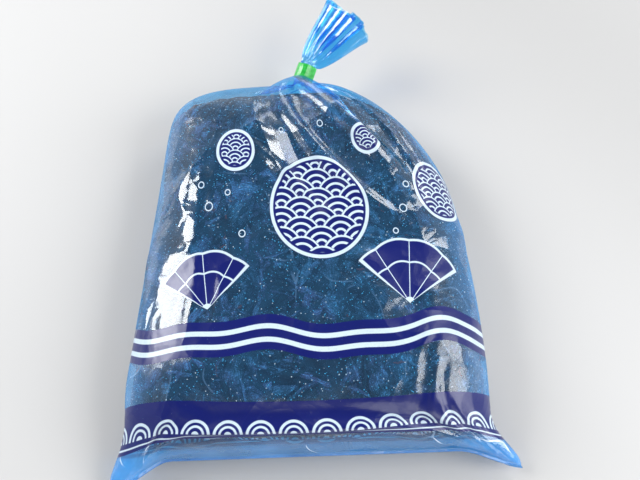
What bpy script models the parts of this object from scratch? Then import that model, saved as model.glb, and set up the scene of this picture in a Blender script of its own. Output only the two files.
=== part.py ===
"""A tied bag of salted wakame, lying on its back: a film bag with a sealed bottom edge, pleated
shoulders, a gathered neck and a fanned tail, a wound neck tape, and the handfuls of fronds inside.

Metres, +Z up. The bag rests on z = 0, its bottom seal is towards -Y and its neck towards +Y, and the
origin is the middle of the face that it rests on.
"""

import math

import bmesh
import bpy
import numpy as np
from mathutils import Vector

# Driving dimensions of the filled bag. Its left side (-X) leans in evenly up to a square shoulder,
# and its right side (+X) stays straight for longer and then slopes off.
BAG_HALF_WIDTH = 0.0960
WIDEST_Y = -0.072
LEFT_LEAN = 0.127
RIGHT_CURVE = 0.90
LEFT_SHOULDER_Y = 0.058
RIGHT_SHOULDER_Y = 0.024
LEFT_SHOULDER_POWER = 4.6
RIGHT_SHOULDER_POWER = 2.2
SEAL_Y = -0.109
NECK_Y = 0.107
SHOULDER_START_Y = 0.030
FILL_HEIGHT = 0.050
CREASE_HEIGHT = 0.018
END_ROUNDING = 0.050
SIDE_ROUNDNESS = 3.2
TOP_ROUNDNESS = 2.4
UNDERSIDE_REACH = 1.25

# The film: one sheet tube, thicker here than the 0.06 mm film it stands for
FILM_WALL = 0.0007
SEAL_THICKNESS = 0.0014
SEAL_ROWS = 2
SEAL_LINE_HEIGHT = 0.013
LEFT_EAR_OUT = 0.0095
RIGHT_EAR_OUT = 0.0160
LEFT_EAR_REACH = 0.014
RIGHT_EAR_REACH = 0.007
EAR_DROOP = 0.008
EAR_LENGTH = 0.026
AROUND = 72
BODY_ROWS = 21
LAST_ROW_TO_NECK = 0.0009

# Neck and tail
NECK_CENTRE = Vector((0.001, NECK_Y, 0.024))
NECK_AIM = Vector((0.37, 0.85, 0.37)).normalized()
NECK_RADIUS = 0.0046
NECK_BORE = 0.0012
NECK_LENGTH = 0.0136
NECK_TURN = 0.0033
NECK_ROOT_RADIUS = 0.0049
NECK_LOBES = 9
NECK_LOBE_DEPTH = 0.16
SHOULDER_PLEAT = 0.0017
TAIL_AIM = Vector((0.70, 0.65, 0.30)).normalized()
TAIL_FACING = Vector((0.0, -0.38, 0.92))
TAIL_LENGTH = 0.040
TAIL_HALF_ANGLE = math.radians(27)
TAIL_HALF_GAP = 0.0022
TAIL_PLEATS = 4.5
TAIL_PLEAT_DEPTH = 0.0021
TAIL_ROWS = 9

# Neck tape
TAPE_WIDTH = 0.0092
TAPE_THICKNESS = 0.0007
TAPE_CLEARANCE = 0.0003
TAPE_OVERLAP = math.radians(95)
TAPE_SIDES = 48

# Wakame: six handfuls of fronds, packed against each other and against the film
FILM_TO_FRONDS = 0.0007
FRONDS_SIDE_AIR = 0.006
FRONDS_END_AIR = 0.013
HANDFUL_GAP = 0.0006
ROW_SPLITS_Y = (-0.040, 0.030)
HANDFUL_CENTRES_Y = (-0.071, -0.005, 0.060)
COLUMN_CENTRE_X = 0.044
COLUMN_SPLIT_X = -0.003
HANDFUL_CENTRE_Z = 0.023
CORE_DEPTH = 0.0019
CORE_AROUND = 22
CORE_ROWS = 10
FRONDS_EACH = 6
FROND_HALF_WIDTH = 0.0062
FROND_ROOT = 0.45
FROND_LIFT = 0.0012
FROND_STATIONS = 10
SEED = 42

FILM_COLOUR = (0.16, 0.48, 0.86, 0.42)
TAPE_COLOUR = (0.05, 0.62, 0.13, 1.0)
WAKAME_COLOUR = (0.035, 0.075, 0.055, 1.0)


def clear_scene():
    """Removes every object that the file opened with."""
    for obj in list(bpy.data.objects):
        bpy.data.objects.remove(obj)


def make_material(name, colour, roughness):
    """A plain non-metal surface of one colour."""
    material = bpy.data.materials.new(name)
    material.use_nodes = True
    shader = material.node_tree.nodes["Principled BSDF"]
    shader.inputs["Base Color"].default_value = (*colour[:3], 1.0)
    shader.inputs["Alpha"].default_value = colour[3]
    shader.inputs["Roughness"].default_value = roughness
    shader.inputs["Metallic"].default_value = 0.0
    return material


def add_object(name, points, faces, material, smooth_angle=None):
    """A mesh object from points and faces, all in world metres."""
    mesh = bpy.data.meshes.new(name)
    mesh.from_pydata([tuple(map(float, p)) for p in points], [], faces)
    mesh.materials.append(material)
    obj = bpy.data.objects.new(name, mesh)
    bpy.context.scene.collection.objects.link(obj)
    if smooth_angle is not None:
        mesh.shade_smooth()
        mesh.set_sharp_from_angle(angle=smooth_angle)
    return obj


def end_closing(distance, length, power):
    """1 in the body and 0 at a rounded end, as a superellipse: (1 - t^power)^(1/power)."""
    t = np.clip(distance / length, 0.0, 1.0)
    return (1.0 - t**power) ** (1.0 / power)


def left_width(y):
    """From the middle to the left side at y."""
    lean = BAG_HALF_WIDTH - LEFT_LEAN * np.maximum(y - WIDEST_Y, 0.0)
    return lean * end_closing(y - LEFT_SHOULDER_Y, NECK_Y - LEFT_SHOULDER_Y, LEFT_SHOULDER_POWER)


def right_width(y):
    """From the middle to the right side at y."""
    lean = BAG_HALF_WIDTH - RIGHT_CURVE * np.maximum(y - WIDEST_Y, 0.0) ** 2
    return lean * end_closing(y - RIGHT_SHOULDER_Y, NECK_Y - RIGHT_SHOULDER_Y, RIGHT_SHOULDER_POWER)


def to_neck(y):
    """0 before the shoulders and 1 at the neck."""
    return np.clip((y - SHOULDER_START_Y) / (NECK_Y - SHOULDER_START_Y), 0.0, 1.0)


def fullness(y):
    """0 at the bottom seal, 1 in the body, and small again at the shoulder's end."""
    bottom = end_closing(SEAL_Y + END_ROUNDING - y, END_ROUNDING, 2.2)
    shoulder = end_closing(y - SHOULDER_START_Y, NECK_Y - SHOULDER_START_Y, 2.6)
    return bottom * shoulder


def crease_height(y):
    """Height of the side creases: the seal line's at the bottom, and the neck's at the top."""
    from_seal = np.clip((SEAL_Y + END_ROUNDING - y) / END_ROUNDING, 0, 1) ** 2
    middle = CREASE_HEIGHT + (NECK_CENTRE.z - CREASE_HEIGHT) * to_neck(y) ** 2
    return middle + (SEAL_LINE_HEIGHT - CREASE_HEIGHT) * from_seal


def loop_angles():
    """Angles round a section: 0 at the right crease, a quarter turn at the front."""
    return 2 * math.pi * np.arange(AROUND) / AROUND


def signed_power(value, power):
    return np.sign(value) * np.abs(value) ** power


def body_section(y):
    """Points of the bag's outside at y.

    A superellipse whose upper and lower halves have their own heights, cut flat where it rests.
    Near the seal its corners reach out and down into the two flat ears.
    """
    angle = loop_angles()
    cosine, sine = np.cos(angle), np.sin(angle)
    full = float(fullness(y))
    above = (FILL_HEIGHT - CREASE_HEIGHT) * full + SEAL_THICKNESS / 2
    below = CREASE_HEIGHT * UNDERSIDE_REACH * full + SEAL_THICKNESS / 2
    wide = np.where(cosine < 0, left_width(y), right_width(y))
    x = wide * signed_power(cosine, 2 / SIDE_ROUNDNESS)
    rise = np.where(sine >= 0, above, below) * signed_power(sine, 2 / TOP_ROUNDNESS)
    ear = float(np.clip((SEAL_Y + EAR_LENGTH - y) / EAR_LENGTH, 0, 1))
    ease = ear * ear * (3 - 2 * ear)
    corner = np.abs(cosine) ** 10
    x = x + np.where(cosine < 0, -LEFT_EAR_OUT, RIGHT_EAR_OUT) * ease * np.abs(cosine) ** 6
    reach = np.where(cosine < 0, LEFT_EAR_REACH, RIGHT_EAR_REACH) * ear * corner
    z = np.maximum(float(crease_height(y)) + rise - EAR_DROOP * ear * corner, 0.0)
    return np.stack([x, y - reach, z], axis=1)


def shoulder_pleats(points, y):
    """The section with radial pleats, which grow towards the neck."""
    grow = float(to_neck(y)) ** 2
    centre = np.array([NECK_CENTRE.x, y, float(crease_height(y))])
    out = points - centre
    size = np.linalg.norm(out, axis=1, keepdims=True)
    pleat = 0.5 - 0.5 * np.cos(NECK_LOBES * loop_angles())
    moved = points - out / size * (SHOULDER_PLEAT * grow * pleat)[:, None]
    moved[:, 2] = np.where(points[:, 2] <= 1e-6, points[:, 2], moved[:, 2])
    return moved


def frame_of(aim, facing):
    """Width and front axes of a section whose path runs along aim and whose front looks to facing."""
    width = aim.cross(facing).normalized()
    return np.array(width), np.array(width.cross(aim).normalized())


def neck_ring(along, radius, lobed):
    """A ring round the neck's axis, along metres past its root."""
    width, front = frame_of(NECK_AIM, Vector((0, 0, 1)))
    angle = loop_angles()
    depth = NECK_LOBE_DEPTH if lobed else 0.0
    reach = radius * (1 - depth * (0.5 - 0.5 * np.cos(NECK_LOBES * angle)))
    centre = np.array(NECK_CENTRE) + np.array(NECK_AIM) * along
    return (
        centre
        + np.outer(reach * np.cos(angle), width)
        + np.outer(reach * np.sin(angle), front)
    )


def root_ring(radius, y):
    """A ring that stands upright across Y, where the neck grows out of the shoulders."""
    angle = loop_angles()
    return np.stack(
        [
            NECK_CENTRE.x + radius * np.cos(angle),
            np.full(AROUND, y),
            NECK_CENTRE.z + radius * np.sin(angle),
        ],
        axis=1,
    )


def pushed_in(rings):
    """The same rings moved in by the film's thickness, along the normals of the surface."""
    grid = np.array(rings)
    step = np.diff(grid, axis=0)
    step /= np.linalg.norm(step, axis=2, keepdims=True)
    along = np.concatenate([step[:1], step[:-1] + step[1:], step[-1:]])
    inward = np.cross(np.roll(grid, -1, axis=1) - np.roll(grid, 1, axis=1), along)
    inward /= np.linalg.norm(inward, axis=2, keepdims=True)
    return list(grid + FILM_WALL * inward)


def tail_ring(share, inner):
    """A section of the tail, share of the way from the tape to its mouth.

    The loop's front and back halves fan out side by side, a gap apart, and ripple together.
    """
    width, front = frame_of(TAIL_AIM, TAIL_FACING)
    half = AROUND // 2
    index = np.arange(AROUND)
    steps = np.where(index <= half, index, AROUND - index)
    across = 1.0 - 2.0 * steps / half
    gap = TAIL_HALF_GAP * np.sqrt(np.clip(1 - across**2, 0, 1))
    if inner:
        across = np.where(np.abs(across) == 1, across * (1 - 1.1 / half), across)
        gap = np.where(steps % half == 0, 0.0, np.maximum(gap - FILM_WALL, 0.00015))
    side = np.where(index <= half, 1.0, -1.0)
    turn = TAIL_HALF_ANGLE * across
    ripple = TAIL_PLEAT_DEPTH * share * np.sin(TAIL_PLEATS * math.pi * across)
    apex = np.array(NECK_CENTRE) + np.array(NECK_AIM) * NECK_LENGTH
    reach = TAIL_LENGTH * share * (1 + 0.05 * np.sin(5 * across))
    fan = (
        apex
        + (reach * np.cos(turn))[:, None] * np.array(TAIL_AIM)
        + (reach * np.sin(turn))[:, None] * width
        + (side * gap + ripple)[:, None] * front
    )
    radius = NECK_BORE if inner else NECK_RADIUS
    ring = neck_ring(NECK_LENGTH + TAIL_LENGTH * share * 0.5, radius, not inner)
    blend = min(share / 0.45, 1.0)
    blend = blend * blend * (3 - 2 * blend)
    return ring * (1 - blend) + fan * blend


def film_rings():
    """The film's rings in order: up the outside to the tail's mouth, then down the inside."""
    share = (1 - np.cos(math.pi * np.arange(BODY_ROWS + 1) / BODY_ROWS)) / 2
    stations = SEAL_Y + (NECK_Y - LAST_ROW_TO_NECK - SEAL_Y) * share
    body = [shoulder_pleats(body_section(y), y) for y in stations]
    outside = body + [root_ring(NECK_ROOT_RADIUS, NECK_Y)]
    lining = pushed_in(outside)[SEAL_ROWS:-1] + [root_ring(NECK_BORE, NECK_Y - FILM_WALL)]
    neck_steps = np.linspace(NECK_TURN, NECK_LENGTH, 3)
    outside += [neck_ring(s, NECK_RADIUS, True) for s in neck_steps]
    tail_steps = np.arange(1, TAIL_ROWS + 1) / TAIL_ROWS
    outside += [tail_ring(s, inner=False) for s in tail_steps]
    inside = [tail_ring(s, inner=True) for s in tail_steps[::-1]]
    inside += [neck_ring(s, NECK_BORE, False) for s in neck_steps[::-1]]
    return outside + inside + lining[::-1]


def zip_loop(first, count, flip):
    """Faces that close a flattened loop by joining its front half to its back half."""
    half = count // 2
    faces = [(first, first + 1, first + count - 1)]
    for j in range(1, half - 1):
        faces.append((first + j, first + j + 1, first + count - j - 1, first + count - j))
    faces.append((first + half - 1, first + half, first + half + 1))
    return [f[::-1] for f in faces] if flip else faces


def build_film(material):
    """The bag's film as one closed wall, open at the tail's mouth."""
    rings = film_rings()
    points = np.concatenate(rings)
    faces = []
    for k in range(len(rings) - 1):
        for j in range(AROUND):
            a, b = k * AROUND + j, k * AROUND + (j + 1) % AROUND
            faces.append((a, a + AROUND, b + AROUND, b))
    faces += zip_loop(0, AROUND, flip=False)
    faces += zip_loop((len(rings) - 1) * AROUND, AROUND, flip=True)
    return add_object("bag_film", points, faces, material, math.radians(50))


def build_tape(material):
    """The neck tape: a turn and a quarter, whose end steps up over the first layer."""
    width, front = frame_of(NECK_AIM, Vector((0, 0, 1)))
    aim = np.array(NECK_AIM)
    start = np.array(NECK_CENTRE) + aim * (NECK_LENGTH - TAPE_WIDTH - TAPE_CLEARANCE)
    bore = NECK_RADIUS + TAPE_CLEARANCE
    points, faces = [], []
    for i in range(TAPE_SIDES):
        angle = 2 * math.pi * i / TAPE_SIDES
        doubled = angle <= TAPE_OVERLAP
        outer = bore + TAPE_THICKNESS * (2 if doubled else 1)
        out = width * math.cos(angle) + front * math.sin(angle)
        for radius, along in ((bore, 0.0), (outer, 0.0), (outer, TAPE_WIDTH), (bore, TAPE_WIDTH)):
            points.append(start + out * radius + aim * along)
    for i in range(TAPE_SIDES):
        a, b = 4 * i, 4 * ((i + 1) % TAPE_SIDES)
        for k in range(4):
            m = (k + 1) % 4
            faces.append((a + k, a + m, b + m, b + k))
    return add_object("neck_tape", points, faces, material, math.radians(35))


def inside_fill(points, planes):
    """True where a point lies in the packed space: clear of the film, and behind each plane."""
    x, y, z = points[..., 0], points[..., 1], points[..., 2]
    inset = FILM_WALL + FILM_TO_FRONDS
    full = fullness(y)
    crease = crease_height(y)
    above = (FILL_HEIGHT - CREASE_HEIGHT) * full - inset
    below = CREASE_HEIGHT * UNDERSIDE_REACH * full - inset
    reach = np.maximum(np.where(x < 0, left_width(y), right_width(y)) - FRONDS_SIDE_AIR, 1e-4)
    rise = np.where(z >= crease, above, below)
    rise = np.maximum(rise, 1e-4)
    value = np.abs(x / reach) ** SIDE_ROUNDNESS
    value = value + np.abs((z - crease) / rise) ** TOP_ROUNDNESS
    ends = (y > SEAL_Y + FRONDS_END_AIR) & (y < NECK_Y - FRONDS_END_AIR)
    found = (value < 1.0) & (z > inset) & ends
    for normal, distance in planes:
        found &= points @ normal < distance
    return found


def reach_of(centre, directions, planes):
    """How far the packed space goes from centre along each direction, by halving."""
    near = np.zeros(directions.shape[:-1])
    far = np.full(directions.shape[:-1], 0.20)
    for _ in range(26):
        middle = (near + far) / 2
        hit = inside_fill(centre + directions * middle[..., None], planes)
        near, far = np.where(hit, middle, near), np.where(hit, far, middle)
    return near


def handful_planes(column, row):
    """The planes between a handful and its neighbours, each as (outward normal, distance)."""
    planes = []
    side = 1.0 if column else -1.0
    lean = Vector((-side, 0.10 * side, 0.06 * side)).normalized()
    split = Vector((COLUMN_SPLIT_X, 0, 0))
    planes.append((np.array(lean), float(lean.dot(split) - HANDFUL_GAP / 2)))
    slope = 0.16 if column else -0.12
    if row > 0:
        cut = Vector((slope, -1.0, 0.05)).normalized()
        point = Vector((0, ROW_SPLITS_Y[row - 1], 0))
        planes.append((np.array(cut), float(cut.dot(point) - HANDFUL_GAP / 2)))
    if row < 2:
        cut = Vector((-slope, 1.0, -0.05)).normalized()
        point = Vector((0, ROW_SPLITS_Y[row], 0))
        planes.append((np.array(cut), float(cut.dot(point) - HANDFUL_GAP / 2)))
    return planes


def core_mesh(centre, planes):
    """The pressed middle of a handful: a ball of directions, each as long as its space less a depth."""
    points = []
    for k in range(1, CORE_ROWS):
        tilt = math.pi * k / CORE_ROWS
        turn = 2 * math.pi * np.arange(CORE_AROUND) / CORE_AROUND
        points.append(
            np.stack(
                [
                    math.sin(tilt) * np.cos(turn),
                    math.sin(tilt) * np.sin(turn),
                    np.full(CORE_AROUND, math.cos(tilt)),
                ],
                axis=1,
            )
        )
    directions = np.concatenate([np.array([[0, 0, 1.0]]), *points, np.array([[0, 0, -1.0]])])
    reach = reach_of(centre, directions, planes) - CORE_DEPTH
    verts = centre + directions * reach[:, None]
    faces = []
    last = len(verts) - 1
    for j in range(CORE_AROUND):
        n = (j + 1) % CORE_AROUND
        faces.append((0, 1 + j, 1 + n))
        faces.append((last, last - CORE_AROUND + n, last - CORE_AROUND + j))
        for k in range(CORE_ROWS - 2):
            a = 1 + k * CORE_AROUND
            faces.append((a + j, a + CORE_AROUND + j, a + CORE_AROUND + n, a + n))
    return verts, faces


def frond_mesh(centre, planes, draw):
    """One frond pressed over its handful: a band of directions, its outer face at the film's side
    and its inner face sunk in the core. One edge lifts over the other, as fronds overlap."""
    axis = Vector(draw.normal(size=3)).normalized()
    start = axis.orthogonal().normalized()
    other = axis.cross(start)
    begin = draw.uniform(0, 2 * math.pi)
    span = draw.uniform(1.5, 2.6)
    wave = draw.uniform(0.10, 0.22)
    offset = draw.uniform(-0.45, 0.45)
    t = np.linspace(0, 1, FROND_STATIONS)
    turn = begin + span * t
    sway = offset + wave * np.sin(2 * math.pi * t * draw.uniform(0.8, 1.6))
    taper = 0.45 + 0.55 * np.sin(math.pi * np.clip(t * 1.1 + 0.05, 0, 1)) ** 0.6
    rings = []
    for edge in (-1.0, 1.0):
        lean = sway + edge * taper * FROND_HALF_WIDTH / 0.035
        way = (
            np.outer(np.cos(turn), np.array(start))
            + np.outer(np.sin(turn), np.array(other))
            + np.outer(lean, np.array(axis))
        )
        way /= np.linalg.norm(way, axis=1, keepdims=True)
        reach = reach_of(centre, way, planes)
        ripple = FROND_LIFT * (0.35 + 0.35 * np.sin(9 * t + begin) + (0.3 if edge > 0 else 0.0))
        outer = centre + way * (reach - ripple)[:, None]
        root = centre + way * (reach * FROND_ROOT)[:, None]
        rings.append((outer, root))
    (left_out, left_in), (right_out, right_in) = rings
    verts = np.stack([left_out, right_out, right_in, left_in], axis=1).reshape(-1, 3)
    faces = [(3, 2, 1, 0)]
    for k in range(FROND_STATIONS - 1):
        for m in range(4):
            n = (m + 1) % 4
            a, b = 4 * k, 4 * (k + 1)
            faces.append((a + m, a + n, b + n, b + m))
    end = 4 * (FROND_STATIONS - 1)
    faces.append((end, end + 1, end + 2, end + 3))
    return verts, faces


def outward(obj):
    """Turns the mesh's faces outwards if they point in."""
    mesh = obj.data
    mesh.calc_loop_triangles()
    volume = 0.0
    for triangle in mesh.loop_triangles:
        a, b, c = (mesh.vertices[i].co for i in triangle.vertices)
        volume += a.dot(b.cross(c))
    if volume < 0:
        mesh.flip_normals()


def join_fronds(core, fronds):
    """Fuses the fronds into the core, and removes them."""
    group = bpy.data.collections.new(core.name + "_fronds")
    for frond in fronds:
        group.objects.link(frond)
    union = core.modifiers.new("fuse", "BOOLEAN")
    union.operation = "UNION"
    union.operand_type = "COLLECTION"
    union.collection = group
    union.solver = "MANIFOLD"
    bpy.context.view_layer.objects.active = core
    bpy.ops.object.modifier_apply(modifier=union.name)
    for frond in fronds:
        bpy.data.objects.remove(frond)
    bpy.data.collections.remove(group)


def fill_hollows(obj):
    """Leaves only the outer shell, so that gaps closed in under crossing fronds are solid."""
    bm = bmesh.new()
    bm.from_mesh(obj.data)
    unseen = set(bm.faces)
    shells = []
    while unseen:
        front = [unseen.pop()]
        shell = set(front)
        while front:
            linked = {face for edge in front.pop().edges for face in edge.link_faces} - shell
            shell |= linked
            front += linked
        unseen -= shell
        shells.append(shell)
    outer = max(shells, key=len)
    bmesh.ops.delete(bm, geom=[face for face in bm.faces if face not in outer], context="FACES")
    bm.to_mesh(obj.data)
    bm.free()


def build_handful(column, row, material):
    """One handful of fronds: a pressed core with fronds lying over it."""
    draw = np.random.default_rng(SEED + 10 * column + row)
    side = 1.0 if column else -1.0
    narrow = 1.0 - 0.12 * row
    centre_x = COLUMN_SPLIT_X + side * COLUMN_CENTRE_X * narrow
    centre = np.array([centre_x, HANDFUL_CENTRES_Y[row], HANDFUL_CENTRE_Z])
    planes = handful_planes(column, row)
    name = f"wakame_handful_{1 + 3 * column + row}"
    core = add_object(name, *core_mesh(centre, planes), material)
    outward(core)
    fronds = []
    for i in range(FRONDS_EACH):
        frond = add_object(f"{name}_frond_{i}", *frond_mesh(centre, planes, draw), material)
        outward(frond)
        fronds.append(frond)
    join_fronds(core, fronds)
    fill_hollows(core)


def main():
    clear_scene()
    film = make_material("blue_film", FILM_COLOUR, 0.12)
    tape = make_material("green_tape", TAPE_COLOUR, 0.3)
    wakame = make_material("salted_wakame", WAKAME_COLOUR, 0.55)
    build_film(film)
    build_tape(tape)
    for column in range(2):
        for row in range(3):
            build_handful(column, row, wakame)


main()
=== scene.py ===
"""A tied film bag of salted wakame on a pale table: the looks over the CAD frame.

Lengths are metres. The bag lies on z = 0 with its bottom seal towards -Y and its neck towards +Y.
Positions on the film are also given flat, as on the unfilled bag: "across" runs from the right
crease at +0.115 to the left crease at -0.115, and "up" runs from the bottom edge towards the neck.
"""

import logging
import math
from dataclasses import dataclass
from enum import Enum
from typing import Sequence

import bpy
import numpy as np
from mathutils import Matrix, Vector


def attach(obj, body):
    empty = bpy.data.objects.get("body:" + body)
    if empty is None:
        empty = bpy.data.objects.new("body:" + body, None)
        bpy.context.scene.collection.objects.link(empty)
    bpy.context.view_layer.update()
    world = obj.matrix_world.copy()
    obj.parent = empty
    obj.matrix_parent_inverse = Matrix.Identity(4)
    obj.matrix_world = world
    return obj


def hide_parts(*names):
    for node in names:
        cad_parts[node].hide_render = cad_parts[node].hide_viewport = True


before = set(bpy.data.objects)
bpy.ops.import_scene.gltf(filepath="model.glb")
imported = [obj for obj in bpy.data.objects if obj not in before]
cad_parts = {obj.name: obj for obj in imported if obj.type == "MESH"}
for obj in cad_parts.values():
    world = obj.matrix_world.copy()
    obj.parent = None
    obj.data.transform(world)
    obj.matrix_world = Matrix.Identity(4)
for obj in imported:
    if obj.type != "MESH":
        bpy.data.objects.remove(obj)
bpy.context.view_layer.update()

log = logging.getLogger("wakame")

Array = np.ndarray
SEED = 7
HANDFULS = [f"wakame_handful_{k}" for k in range(1, 7)]
FINE = 720  # steps round a section, before its length is shared out evenly


# Shader building


class Value:
    """A shader socket that carries a number, so that sums on it become Math nodes."""

    def __init__(self, graph: "Graph", socket: bpy.types.NodeSocket) -> None:
        """Wraps a socket.

        Args:
            graph: The graph that the socket belongs to.
            socket: The output socket.
        """
        self.graph = graph
        self.socket = socket

    def _math(self, operation: str, *others: "Value | float") -> "Value":
        """Adds one Math node on this value and others."""
        return self.graph.math(operation, self, *others)

    def __add__(self, other: "Value | float") -> "Value":
        """Sum."""
        return self._math("ADD", other)

    def __sub__(self, other: "Value | float") -> "Value":
        """Difference."""
        return self._math("SUBTRACT", other)

    def __rsub__(self, other: float) -> "Value":
        """A number less this value."""
        return self.graph.math("SUBTRACT", other, self)

    def __mul__(self, other: "Value | float") -> "Value":
        """Product."""
        return self._math("MULTIPLY", other)

    def __truediv__(self, other: "Value | float") -> "Value":
        """Quotient."""
        return self._math("DIVIDE", other)

    def __pow__(self, other: float) -> "Value":
        """Power."""
        return self._math("POWER", other)

    def __abs__(self) -> "Value":
        """Size without the sign."""
        return self._math("ABSOLUTE")

    __radd__ = __add__
    __rmul__ = __mul__

    def least(self, other: "Value | float") -> "Value":
        """The lesser of two."""
        return self._math("MINIMUM", other)

    def most(self, other: "Value | float") -> "Value":
        """The greater of two."""
        return self._math("MAXIMUM", other)

    def floor(self) -> "Value":
        """Rounded down."""
        return self._math("FLOOR")

    def wrap(self, period: float) -> "Value":
        """Remainder in 0 to period."""
        return self._math("WRAP", period, 0.0)

    def sine(self) -> "Value":
        """Sine of the value in radians."""
        return self._math("SINE")

    def step(self, low: float, high: float) -> "Value":
        """0 at low or less and 1 at high or more, smooth between. low may be the greater."""
        return self.graph.node(
            "ShaderNodeMapRange",
            {"interpolation_type": "SMOOTHSTEP"},
            {"Value": self, "From Min": low, "From Max": high},
        )


Input = "Value | float | tuple"


class Graph:
    """The node tree of one material, or of the world."""

    def __init__(self, owner: bpy.types.Material | bpy.types.World) -> None:
        """Takes a new material or world and empties its tree.

        Args:
            owner: The material or world.
        """
        self.owner = owner
        owner.use_nodes = True
        self.tree = owner.node_tree
        self.tree.nodes.clear()

    def node(
        self,
        kind: str,
        settings: dict | None = None,
        inputs: dict | None = None,
        out: int | str = 0,
    ) -> Value:
        """Adds a node.

        Args:
            kind: The node's type.
            settings: Its properties, set before its sockets.
            inputs: Values or links of its input sockets, by name or index.
            out: The output that is wanted.

        Returns:
            That output.
        """
        made = self.tree.nodes.new(kind)
        for name, value in (settings or {}).items():
            if name == "stops":
                self._set_stops(made, value)
            else:
                setattr(made, name, value)
        for name, value in (inputs or {}).items():
            self.feed(made.inputs[name], value)
        return Value(self, made.outputs[out])

    @staticmethod
    def _set_stops(ramp: bpy.types.Node, stops: Sequence[tuple[float, tuple]]) -> None:
        """Sets a ramp's stops.

        Args:
            ramp: The ramp's node.
            stops: Position and colour of each.
        """
        elements = ramp.color_ramp.elements
        while len(elements) < len(stops):
            elements.new(0.5)
        for element, (position, colour) in zip(elements, stops):
            element.position = position
            element.color = (*colour[:3], 1.0)

    def feed(self, socket: bpy.types.NodeSocket, value: Input) -> None:
        """Links or sets one input socket.

        Args:
            socket: The input socket.
            value: A value to link, or a number, vector or colour to set.
        """
        if isinstance(value, Value):
            self.tree.links.new(value.socket, socket)
        elif isinstance(value, tuple) and socket.type == "RGBA":
            socket.default_value = (*value, 1.0)
        else:
            socket.default_value = value

    def math(self, operation: str, *values: "Value | float") -> Value:
        """Adds a Math node on up to three values."""
        return self.node("ShaderNodeMath", {"operation": operation}, dict(enumerate(values)))

    def mix(self, share: Input, first: Input, second: Input) -> Value:
        """A colour between first and second."""
        inputs = {0: share, 6: first, 7: second}
        return self.node("ShaderNodeMix", {"data_type": "RGBA"}, inputs, out=2)

    def noise(
        self, where: Input, scale: float, detail: float = 3.0, rough: float = 0.5, bend: float = 0.0
    ) -> Value:
        """Cloudy noise, 0 to 1."""
        inputs = {"Vector": where, "Scale": scale, "Detail": detail, "Roughness": rough}
        return self.node("ShaderNodeTexNoise", {}, {**inputs, "Distortion": bend})

    def cells(self, where: Input, scale: float, feature: str = "F1") -> Value:
        """Distance to the nearest of scattered points, or to the edge between two."""
        inputs = {"Vector": where, "Scale": scale, "Randomness": 1.0}
        return self.node("ShaderNodeTexVoronoi", {"feature": feature}, inputs, out="Distance")

    def stretched(self, where: Input, scale: tuple[float, float, float]) -> Value:
        """A position scaled differently along each axis."""
        return self.node("ShaderNodeMapping", {}, {"Vector": where, "Scale": scale})

    def place(self) -> Value:
        """The piece's own object coordinates."""
        return self.node("ShaderNodeTexCoord", out="Object")

    def parts(self, vector: Value) -> tuple[Value, Value, Value]:
        """The three numbers of a vector."""
        split = self.node("ShaderNodeSeparateXYZ", {}, {0: vector}).socket.node
        return tuple(Value(self, output) for output in split.outputs)

    def uv(self, name: str) -> tuple[Value, Value]:
        """The two parts of a UV map."""
        return self.parts(self.node("ShaderNodeUVMap", {"uv_map": name}))[:2]

    def attribute(self, name: str) -> Value:
        """A number kept on the mesh."""
        return self.node("ShaderNodeAttribute", {"attribute_name": name}, out="Fac")

    def bump(self, height: Value, depth: float, strength: float = 1.0) -> Value:
        """A normal pushed about by a height, whose full range is depth metres."""
        inputs = {"Height": height, "Distance": depth, "Strength": strength}
        return self.node("ShaderNodeBump", {}, inputs)

    def shader(self, **inputs: Input) -> Value:
        """A Principled surface. Underscores in names stand for spaces."""
        named = {name.replace("_", " "): value for name, value in inputs.items()}
        return self.node("ShaderNodeBsdfPrincipled", {}, named)

    def mix_shader(self, share: Input, first: Value, second: Value) -> Value:
        """A surface that is first where share is 0 and second where it is 1."""
        return self.node("ShaderNodeMixShader", {}, {0: share, 1: first, 2: second})

    def finish(self, surface: Value) -> bpy.types.Material | bpy.types.World:
        """Ends the graph.

        Args:
            surface: What the owner's surface is.

        Returns:
            The material or world.
        """
        place = "World" if isinstance(self.owner, bpy.types.World) else "Material"
        end = self.tree.nodes.new(f"ShaderNodeOutput{place}")
        self.tree.links.new(surface.socket, end.inputs["Surface"])
        return self.owner


def new_material(name: str) -> Graph:
    """The graph of a new material."""
    return Graph(bpy.data.materials.new(name))


# Mesh building


def grid_faces(rows: int, columns: int) -> Array:
    """Quads of a grid whose rows are loops, and whose points run column by column along each row.

    Args:
        rows: Rows of points.
        columns: Points in a row.

    Returns:
        Four indices a quad, (n, 4).
    """
    r = columns * np.arange(rows - 1)[:, None]
    c = np.arange(columns)[None, :]
    n = (c + 1) % columns
    return np.stack([r + c, r + n, r + columns + n, r + columns + c], axis=-1).reshape(-1, 4)


def make_piece(name: str, points: Array, faces: Sequence, smooth: bool = True) -> bpy.types.Object:
    """A mesh object with its place in its mesh.

    Args:
        name: The piece's name.
        points: World positions, (n, 3).
        faces: Vertex indices, as an array of quads or triangles or as a list of tuples.
        smooth: True for smooth shading.

    Returns:
        The new object.
    """
    mesh = bpy.data.meshes.new(name)
    faces = faces.tolist() if isinstance(faces, np.ndarray) else faces
    mesh.from_pydata(points.tolist(), [], faces)
    mesh.polygons.foreach_set("use_smooth", np.full(len(mesh.polygons), smooth))
    mesh.update()
    piece = bpy.data.objects.new(name, mesh)
    bpy.context.scene.collection.objects.link(piece)
    return piece


def keep_on_mesh(piece: bpy.types.Object, name: str, values: Array) -> None:
    """Stores one number a vertex."""
    layer = piece.data.attributes.new(name, "FLOAT", "POINT")
    layer.data.foreach_set("value", values.astype(np.float32).ravel())


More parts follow.
